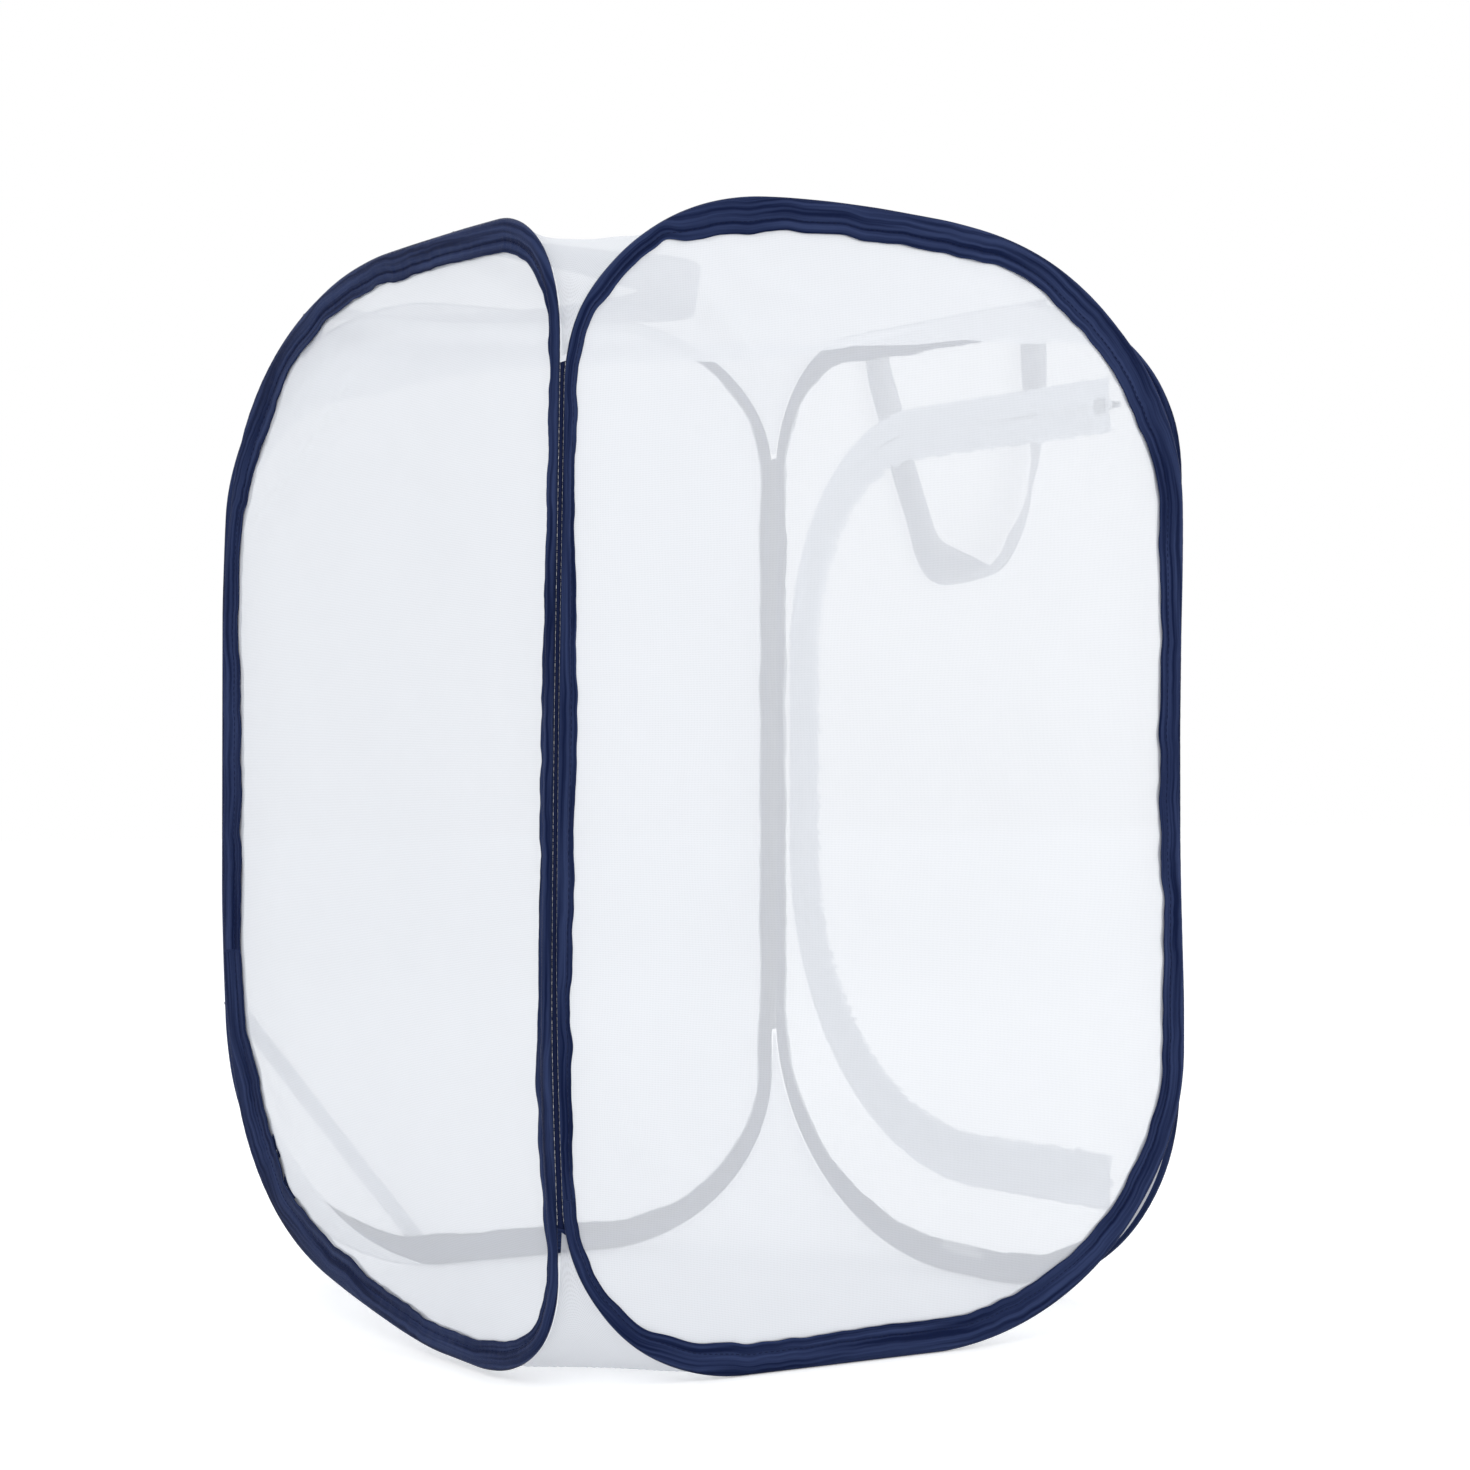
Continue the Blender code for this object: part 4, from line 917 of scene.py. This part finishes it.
def tape_strip(name, rows, sign, gather, seed, body, replaced):
    """One half of the zip's tape, gathered along its far edge."""
    s = travelled(rows[:, :2])
    tucks = ripple(seed, (0.006, 0.009), GATHER_PERIOD)(s)
    sway = ripple(seed + 1, (0.012, 0.03), GATHER_PERIOD)(s)
    inner = NET_THICKNESS / 2 + CLEARANCE
    offsets = np.array([0.0, 0.03, 0.12, 0.25, 0.4, 0.55, 0.7, 0.85, 0.94, 0.98, 1.0])
    reach = ZIP_TAPE_WIDTH - ZIP_HALF_GAP + gather * 0.35 * sway
    off = ZIP_HALF_GAP + offsets[None, :] * reach[:, None]
    far = offsets[None, :] ** 1.4
    lift = gather * far * (tucks[:, None] + 1.2) * 0.5
    rolled = 0.0003 * (offsets[None, :] > 0.9)
    top_face = inner + ZIP_TAPE_THICKNESS + lift + rolled
    low_face = inner + lift
    off_all = np.concatenate([off, off[:, ::-1]], axis=1)
    out_all = np.concatenate([top_face, low_face[:, ::-1]], axis=1)
    along, up = inward(rows[:, None, :], -sign * off_all)
    points = place("right", along, out_all, up)
    uv = np.stack([np.broadcast_to(s[:, None], off_all.shape), off_all], axis=-1)
    thing = dress(bar(name, points, ZIP_TAPE, uv), body, replaced)


def coil(name, rows, sign, body, shift):
    """One row of coils beside the zip's middle."""
    s = travelled(rows[:, :2])
    at = np.arange(shift, s[-1], TOOTH_PITCH / 2)
    here = np.stack([np.interp(at, s, rows[:, k]) for k in range(4)], axis=1)
    face = NET_THICKNESS / 2 + CLEARANCE + ZIP_TAPE_THICKNESS
    near_along, near_up = inward(here, sign * TOOTH_OVERLAP)
    far_along, far_up = inward(here, -sign * TOOTH_REACH)
    starts = place("right", near_along, face + TOOTH_LIFT, near_up)
    ends = place("right", far_along, face + TOOTH_FAR_LIFT, far_up)
    across = np.tile(outward("right"), (len(starts), 1))
    dress(capsules(name, starts, ends, TOOTH_RADIUS, NYLON, across), body)


# Top and floor nets


def seam_ends(side, following):
    bottom = max(corner(side, 1)[1], corner(following, 0)[1])
    top = min(tall(side) - corner(side, 2)[1], tall(following) - corner(following, 3)[1])
    return bottom, top


def net_edge(side, at_top, cells):
    index = SIDES.index(side)
    before, after = SIDES[index - 1], SIDES[(index + 1) % 4]
    rows, _, _, _, sway, lean, level = sewn(side, 1600)
    chosen = np.where(level > 0.0001)[0][::-1] if at_top else np.where(level < -0.0001)[0]
    rows, shift = rows[chosen], (sway + lean * NET_EDGE_DEPTH)[chosen]
    ends = []
    for sign, neighbour in ((-1, before), (1, after)):
        pair = (side, after) if sign > 0 else (before, side)
        bottom, top = seam_ends(*pair)
        up = top + NET_CORNER_RISE if at_top else bottom - NET_CORNER_RISE
        reach = half_depth(neighbour) + NET_EDGE_OUT
        ends.append(place(side, sign * reach, NET_EDGE_OUT, up))
    along, up = inward(rows, NET_EDGE_DEPTH)
    limit = np.where(along < 0, ends[0][2], ends[1][2])
    kept = (up > limit) == at_top
    line = place(side, along[kept], NET_EDGE_OUT + shift[kept], up[kept])
    line = np.concatenate([[ends[0]], line, [ends[1]]])
    return spaced(line, cells, False)[0]


def with_edges(grid, edges):
    front, right, back, left = edges
    grid[0], grid[-1] = front, back[::-1]
    grid[:, -1], grid[:, 0] = right, left[::-1]
    return grid


def relaxed(at_top, load):
    """A sheet stretched between the four edges, from a coarse grid to a fine one."""
    grid = None
    cells = 16
    while cells <= TOP_CELLS:
        edges = [net_edge(side, at_top, cells) for side in SIDES]
        if grid is None:
            share = np.linspace(0.0, 1.0, cells + 1)[None, :, None]
            left, right = edges[3][::-1][:, None], edges[1][:, None]
            grid = left * (1 - share) + right * share
        else:
            finer = np.zeros((cells + 1, cells + 1, 3))
            finer[::2, ::2] = grid
            finer[1::2, ::2] = (grid[:-1] + grid[1:]) / 2
            finer[:, 1::2] = (finer[:, :-1:2] + finer[:, 2::2]) / 2
            grid = finer
        grid = with_edges(grid, edges)
        pull = load * (16 / cells) ** 2
        for _ in range(400 if cells < 64 else 250):
            middle = (grid[:-2, 1:-1] + grid[2:, 1:-1] + grid[1:-1, :-2] + grid[1:-1, 2:]) / 4
            middle[:, :, 2] -= pull
            grid[1:-1, 1:-1] = middle
        cells *= 2
    return grid


def end_net(name, node_name, at_top, sag, seed):
    """The top or floor net, in four parts that each fold up with their own side."""
    level = relaxed(at_top, 0.0)
    drop = level[:, :, 2] - relaxed(at_top, CLEARANCE)[:, :, 2]
    half = TOP_CELLS // 2
    level[:, :, 2] -= drop * (sag / drop[half, half])
    x, y = level[:, :, 0], level[:, :, 1]
    waves, creases = swell(seed, 0.05, 0.13, 18), swell(seed + 1, 0.02, 0.04, 12)
    wrinkle = 0.0016 * waves(x * 0.5, y) + 0.0003 * creases(x, y)
    level[:, :, 2] += wrinkle * np.minimum(drop / drop.max() * 3, 1.0)
    if at_top:
        share = np.linspace(0.0, 1.0, TOP_CELLS + 1)
        into_corner = np.minimum(share, 1 - share) / TOP_CORNER_SHARE
        lifted = np.sin(np.pi * np.minimum(into_corner, 1.0))
        level[:, :, 2] += TOP_CORNER_LIFT * np.outer(lifted, lifted)
    else:
        level[:, :, 2] = np.maximum(level[:, :, 2], NET_THICKNESS / 2)
    normals = np.cross(np.gradient(level, axis=1), np.gradient(level, axis=0))
    normals /= np.linalg.norm(normals, axis=2, keepdims=True)
    count = TOP_CELLS + 1
    parts = {side: [] for side in SIDES}
    for row in range(TOP_CELLS):
        for column in range(TOP_CELLS):
            a = row * count + column
            b, c, d = a + 1, a + count + 1, a + count
            faces = [(a, b, c, d)]
            if row == column:
                faces = [(a, b, c), (a, c, d)]
            elif row + column == TOP_CELLS - 1:
                faces = [(a, b, d), (b, c, d)]
            for face in faces:
                back, right = (np.mean(v) - half for v in np.divmod(face, count))
                if abs(right) > abs(back):
                    parts["right" if right > 0 else "left"].append(face)
                else:
                    parts["back" if back > 0 else "front"].append(face)
    points, flat_normals = level.reshape(-1, 3), normals.reshape(-1, 3)
    for side in SIDES:
        used = sorted({v for face in parts[side] for v in face})
        new = {v: i for i, v in enumerate(used)}
        faces = [tuple(new[v] for v in face) for face in parts[side]]
        corners = points[used]
        thing = made(f"{name}_{side}", corners, faces, NET, corners[:, :2], flat_normals[used])
        dress(thing, side, node_name)
        anchor = tuple(place(side, 0, NET_EDGE_OUT, 0))
        tuple(outward(side))
        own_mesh(thing)


# Handles


def tab_out(side):
    half = TAB_LAYERS * WEBBING_THICKNESS / 2
    return FOLD_RADIUS + CLEARANCE + half if side == "right" else -INNER_TAB_FACE - half


def handle_out(side):
    if side == "left":
        return tab_out(side)
    return tab_out(side) + (TAB_LAYERS + 1) * WEBBING_THICKNESS / 2 + CLEARANCE


def handle_frame(side, middle):
    reach = HANDLE_HALF_SPAN - WEBBING_WIDTH / 2
    first, last = top_edge(side, middle - reach), top_edge(side, middle + reach)
    rise = CLEARANCE + WEBBING_THICKNESS / 2
    if side == "left":
        rise += NET_THICKNESS / 2 - NET_EDGE_DEPTH
    else:
        rise += (handle_out(side) + FOLD_RADIUS) * math.tan(HANDLE_SLOPE)
    return (middle, (first + last) / 2 + rise), math.atan2(last - first, 2 * reach)


def smooth_line(points, steps):
    line, found = points, []
    for i in range(len(line) - 1):
        before, start, end = line[max(i - 1, 0)], line[i], line[i + 1]
        after = line[min(i + 2, len(line) - 1)]
        for k in range(steps):
            t = k / steps
            found.append(
                start * (2 * t**3 - 3 * t**2 + 1)
                + (end - before) / 2 * (t**3 - 2 * t**2 + t)
                + end * (3 * t**2 - 2 * t**3)
                + (after - start) / 2 * (t**3 - t**2)
            )
    return np.array([*found, line[-1]])


def webbing_section():
    """The webbing across: (across, through), with rounded edges and a slight crown."""
    half, thick = WEBBING_WIDTH / 2, WEBBING_THICKNESS / 2
    across = (-1.0, -0.97, -0.9, -0.5, 0.0, 0.5, 0.9, 0.97, 1.0)
    through = (0.25, 0.8, 0.95, 1.0, 1.0, 1.0, 0.95, 0.8, 0.25)
    upper = [(a * half, t * thick) for a, t in zip(across, through)]
    return upper + [(a, -t) for a, t in reversed(upper)]


def make_handle(side, middle, table, reach, lifted, turned):
    line = smooth_line(np.array(table) * (HANDLE_HALF_SPAN, reach, math.pi / 2), 10)
    tangent = np.gradient(line[:, :2], axis=0)
    tangent /= np.linalg.norm(tangent, axis=1, keepdims=True)
    zero = np.zeros(len(line))
    across = np.stack([tangent[:, 1], -tangent[:, 0], zero], axis=1)
    flat = np.stack([tangent[:, 0], tangent[:, 1], zero], axis=1)
    twist = line[:, 2][:, None]
    spread = across * np.cos(twist) + np.array([0, 0, 1.0]) * np.sin(twist)
    through = np.cross(flat, spread)
    lift = WEBBING_WIDTH / 2 * np.abs(np.sin(line[:, 2])) if lifted else zero
    centre = np.stack([line[:, 0], line[:, 1], lift], axis=1)
    section = np.array(webbing_section())
    s = travelled(centre)
    wave = 0.00025 * np.sin(s / 0.011) * np.sin(math.pi * s / s[-1])
    rings = (
        centre[:, None]
        + spread[:, None] * section[None, :, :1]
        + through[:, None] * (section[None, :, 1:] + wave[:, None, None])
    )
    (along, up), steep = handle_frame(side, middle)
    on_line, away, off = rings[..., 0], rings[..., 1], rings[..., 2]
    down = away * math.cos(turned) + off * math.sin(turned)
    out = off * math.cos(turned) - away * math.sin(turned)
    on_side = along + on_line * math.cos(steep) + down * math.sin(steep)
    high = up + on_line * math.sin(steep) - down * math.cos(steep)
    points = place(side, on_side, handle_out(side) + out, high)
    uv = np.stack(np.broadcast_arrays(s[:, None], travelled(section)), axis=-1)
    thing = bar(f"loop_{side}", points, WEBBING, uv)
    dress(thing, f"handle_{side}", f"handle_{side}")
    return thing


def slab(name, side, outline, out_low, out_high):
    """A piece of webbing with rounded edges in a side, from its outline as (along, up)."""
    way = outline.mean(axis=0) - outline
    inset = outline + way / np.linalg.norm(way, axis=1, keepdims=True) * TAB_BEVEL * 1.4
    levels = [
        (inset, out_low),
        (outline, out_low + TAB_BEVEL),
        (outline, out_high - TAB_BEVEL),
        (inset, out_high),
    ]
    points = [place(side, o[:, 0], out, o[:, 1]) for o, out in levels]
    flat = np.concatenate([o for o, _ in levels])
    return bar(name, points, WEBBING, flat[:, ::-1])


def rounded(corners, radius, steps=4):
    """An outline with its corners rounded off."""
    corners = np.asarray(corners, float)
    found = []
    for i, here in enumerate(corners):
        back = corners[i - 1] - here
        on = corners[(i + 1) % len(corners)] - here
        back /= np.linalg.norm(back)
        on /= np.linalg.norm(on)
        for k in range(steps + 1):
            t = k / steps
            start, end = here + back * radius, here + on * radius
            found.append(start * (1 - t) ** 2 + here * 2 * t * (1 - t) + end * t**2)
    return np.array(found)


def make_tabs(side, middle):
    """The two folded ends of a handle's webbing, sewn to the hoop's tape."""
    half, out, tall_by = TAB_LAYERS * WEBBING_THICKNESS / 2, tab_out(side), TAB_HEIGHTS[side]
    for name, sign, drop in zip(("first", "last"), (-1, 1), TAB_DROPS[side]):
        leg = middle + sign * HANDLE_HALF_SPAN
        low, high = leg - WEBBING_WIDTH / 2, leg + WEBBING_WIDTH / 2
        low_up, high_up = top_edge(side, low) - drop, top_edge(side, high) - drop
        outline = [(low, low_up - tall_by), (high, high_up - tall_by)]
        outline += [(high, high_up), (low, low_up)]
        shape = rounded(outline, TAB_ROUNDING)
        thing = slab(f"tab_{side}_{name}", side, shape, out - half, out + half)
        dress(thing, side, f"handle_tab_{side}_{name}")
        face = out + (1 if side == "right" else -1) * (half + 0.00008)
        box_stitch(f"box_stitch_{side}_{name}", side, outline, face)


def box_stitch(name, side, outline, out):
    """A square of stitches with a cross in it."""
    middle = np.mean(outline, axis=0)
    square = middle + (outline - middle) * 0.74
    starts, ends = [], []
    for one, other in ((0, 1), (1, 2), (2, 3), (3, 0), (0, 2), (1, 3)):
        run = square[other] - square[one]
        count = max(2, int(np.linalg.norm(run) / BOX_STITCH_PITCH))
        for share, found in ((0.12, starts), (0.80, ends)):
            spots = square[one] + run * (np.arange(count)[:, None] + share) / count
            found.extend(place(side, spots[:, 0], out, spots[:, 1]))
    across = np.tile(outward(side), (len(starts), 1))
    dress(capsules(name, starts, ends, BOX_STITCH_RADIUS, THREAD, across), side)


def make_strap():
    """The storage strap across the back's lower corner, a little bowed."""
    half = half_width("back")
    upper = np.array([half - STRAP_END_DEPTH, STRAP_UPRIGHT_END])
    lower = np.array([half - STRAP_LOWER_END, STRAP_END_DEPTH])
    length = float(np.linalg.norm(upper - lower))
    way = (upper - lower) / length
    share = np.linspace(0, 1, 80)[:, None]
    bow = 0.0016 * np.sin(math.pi * share) + 0.0003 * np.sin(share * 23)
    face = [(-1.0, 0.2), (-0.94, 0.9), (-0.5, 1.0), (0.0, 1.0), (0.5, 1.0), (0.94, 0.9), (1.0, 0.2)]
    ring = np.array(face + [(a, -t) for a, t in reversed(face)])
    off, run = ring[:, 0] * STRAP_WIDTH / 2, share * length
    out = FOLD_RADIUS + CLEARANCE + bow + (ring[:, 1] + 1) * STRAP_THICKNESS / 2
    along, up = lower[0] + way[0] * run - way[1] * off, lower[1] + way[1] * run + way[0] * off
    uv = np.stack(np.broadcast_arrays(run, off), axis=-1)
    thing = bar("strap", place("back", along, out, up), STRAP, uv)
    dress(thing, "back", "storage_strap")


# The whole cage

for side in SIDES:
    made_tape = make_binding(side)
    make_stitches(side, *made_tape)
    make_wire(side)
make_seam("left", "front", "front")
make_seam("front", "right", "front")
make_seam("right", "back", "right")
make_seam("back", "left", "left")

CREASES = {
    "front": (
        ((-0.185, 0.155), (-0.120, 0.085), 0.0022, 0.006),
        ((-0.160, 0.150), (-0.095, 0.075), 0.0015, 0.005),
        ((-0.128, 0.574), (-0.070, 0.500), 0.0022, 0.007),
        ((-0.110, 0.576), (-0.030, 0.540), 0.0015, 0.006),
        ((0.175, 0.500), (0.110, 0.440), 0.0015, 0.008),
    ),
    "left": (
        ((-0.165, 0.455), (0.010, 0.530), 0.0035, 0.007),
        ((-0.120, 0.490), (-0.040, 0.556), 0.0025, 0.006),
        ((-0.170, 0.160), (-0.080, 0.090), 0.0025, 0.008),
    ),
    "back": (((0.160, 0.200), (0.080, 0.110), 0.0020, 0.008),),
}
for number, side in enumerate(("front", "left", "back")):
    edge_line, hold = hoop_outline(side)
    net_panel(
        f"net_panel_{side}",
        side,
        edge_line,
        None,
        side,
        f"net_{side}",
        101 + 10 * number,
        CREASES[side],
        hold,
    )

line = zip_rows()
fold = hinge_along()


def door_loop(offset, hinge):
    """The door's edge, clockwise from the top of its fold, moved in from the zip."""
    along, up = inward(line, offset)
    kept = along > hinge + 0.0005
    loop = np.concatenate(
        [[[hinge, up[0]]], np.stack([along[kept], up[kept]], axis=1), [[hinge, up[-1]]]]
    )
    rows = np.concatenate([loop, np.zeros((len(loop), 2)) + [0.0, 1.0]], axis=1)
    return spaced(rows, NET_SPOKES, True)[0][:, :2]


def from_angle(loop, middle, held=()):
    """A loop's points at even angles round a middle, and values held along it."""
    away = loop - middle
    angle = np.arctan2(away[:, 1], away[:, 0])
    reach = np.linalg.norm(away, axis=1)
    wanted = np.linspace(0, 2 * math.pi, NET_SPOKES, endpoint=False)
    order = np.argsort(angle)
    radius, *kept = (
        np.interp(wanted, angle[order], one[order], period=2 * math.pi)
        for one in (reach, *held)
    )
    spots = middle + np.stack([np.cos(wanted), np.sin(wanted)], axis=1) * radius[:, None]
    return spots, kept


door_edge = door_loop(0.0003, fold + CLEARANCE)
hole_edge = door_loop(-0.0003, fold - CLEARANCE)
hub = hole_edge.mean(axis=0)
edge_line, hold = hoop_outline("right")
edge_line, hold = from_angle(edge_line, hub, hold)
net_panel(
    "net_panel_right",
    "right",
    edge_line,
    from_angle(hole_edge, hub)[0],
    "right",
    "net_right",
    131,
    held=hold,
    finish=DOOR_NET,
)
net_panel("net_panel_door", "right", door_edge, None, "door", "door_net", 141, finish=DOOR_NET)

door_rows = line[line[:, 0] > fold + CLEARANCE]
first_row = np.array([[fold + CLEARANCE, line[0, 1], 0.0, 1.0]])
last_row = np.array([[fold + CLEARANCE, line[-1, 1], 0.0, -1.0]])
door_rows = np.concatenate([first_row, door_rows, last_row])
tape_strip("zip_half_side", line, 1.0, 0.0006, 201, "right", "zip_tape_side")
tape_strip("zip_half_door", door_rows, -1.0, 0.0022, 211, "door", "zip_tape_door")
coil("coil_side", line, 1.0, "right", 0.0004)
coil("coil_door", door_rows, -1.0, "door", 0.00105)
for end_name, row in (("top", line[0]), ("bottom", line[-1])):
    stub = np.linspace(line[0, 0], fold - CLEARANCE, 20)
    rows = np.tile(row, (20, 1))
    rows[:, 0] = stub
    tape_strip(f"zip_stub_{end_name}", rows, -1.0, 0.0012, 221, "right", f"zip_tape_end_{end_name}")
    coil(f"coil_stub_{end_name}", rows, -1.0, "right", 0.00105)

end_net("top_net", "net_top", True, TOP_SAG, 301)
end_net("floor_net", "net_floor", False, FLOOR_SAG, 311)

make_handle("right", RIGHT_HANDLE_MIDDLE, RIGHT_HANDLE, RIGHT_HANDLE_DROP, True, 0.0)
lying = math.pi / 2 - HANDLE_SLOPE
left_loop = make_handle(
    "left", LEFT_HANDLE_MIDDLE, LEFT_HANDLE, LEFT_HANDLE_REACH, False, lying
)
anchor = tuple(place("left", 0, handle_out("left"), 0))
tuple(outward("left"))
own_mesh(left_loop)
make_tabs("right", RIGHT_HANDLE_MIDDLE)
make_tabs("left", LEFT_HANDLE_MIDDLE)
make_strap()

# CAD nodes whose shapes are right keep them, with finer materials and softened edges
CARRIED = {"zip_slider": PLATED, "zip_pull": PLATED}
for end_name in ("top", "bottom"):
    CARRIED[f"zip_stop_{end_name}"] = NYLON
for name, finish in CARRIED.items():
    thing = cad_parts[name]
    for held in thing.material_slots:
        held.material = finish
    soft = thing.modifiers.new("soft edges", "BEVEL")
    soft.width = 0.00025
    soft.segments = 2
    soft.limit_method = "ANGLE"

# Camera, floor and light
CAMERA_PLACE = (-0.998, -1.595, 0.308)
CAMERA_PITCH, CAMERA_TURN = 0.011, -0.575
LAMPS = {
    "key": ((-1.9, -1.9, 2.4), 1.6, 17),
    "fill": ((1.5, -1.3, 1.0), 1.2, 7),
    "rim": ((0.5, 2.2, 2.2), 1.8, 12),
}
LAMP_TARGET = Vector((0, 0, 0.3))

camera_data = bpy.data.cameras.new("camera")
camera_data.lens = 79.6
camera_data.sensor_width = 36.0
camera = bpy.data.objects.new("camera", camera_data)
camera.location = CAMERA_PLACE
camera.rotation_euler = (math.pi / 2 + CAMERA_PITCH, 0.0, CAMERA_TURN)
bpy.context.scene.collection.objects.link(camera)
bpy.context.scene.camera = camera


tree = Finish(bpy.data.materials.new("pale_floor"))
pale = tree.add("BsdfDiffuse", in_0=(0.9, 0.9, 0.9, 1)).outputs[0]
glow = tree.add("Emission", in_0=(1, 1, 1, 1), in_1=0.34).outputs[0]
both = tree.add("AddShader", {0: pale, 1: glow}).outputs[0]
tree.end(tree.blend(tree.direct(), pale, both))
spots = [
    (x * FLOOR_REACH, y * FLOOR_REACH, -FLOOR_DROP)
    for x, y in ((-1, -1), (1, -1), (1, 1), (-1, 1))
]
made("floor", spots, [(0, 1, 2, 3)], tree.owner)

world = bpy.data.worlds.new("studio")
bpy.context.scene.world = world
studio = Finish(world)
sky = studio.add("Background", in_0=(0.97, 0.985, 1.0, 1), in_1=0.84).outputs[0]
white = studio.add("Background", in_0=(1, 1, 1, 1), in_1=1.0).outputs[0]
studio.end(studio.blend(studio.direct(), sky, white), "World")

for name, (where, size, power) in LAMPS.items():
    data = bpy.data.lights.new(name, "AREA")
    data.shape = "SQUARE"
    data.size = size
    data.energy = power
    thing = bpy.data.objects.new(name, data)
    thing.location = where
    way = LAMP_TARGET - Vector(where)
    thing.rotation_euler = way.to_track_quat("-Z", "Y").to_euler()
    bpy.context.scene.collection.objects.link(thing)

bpy.context.scene.view_settings.view_transform = "Standard"
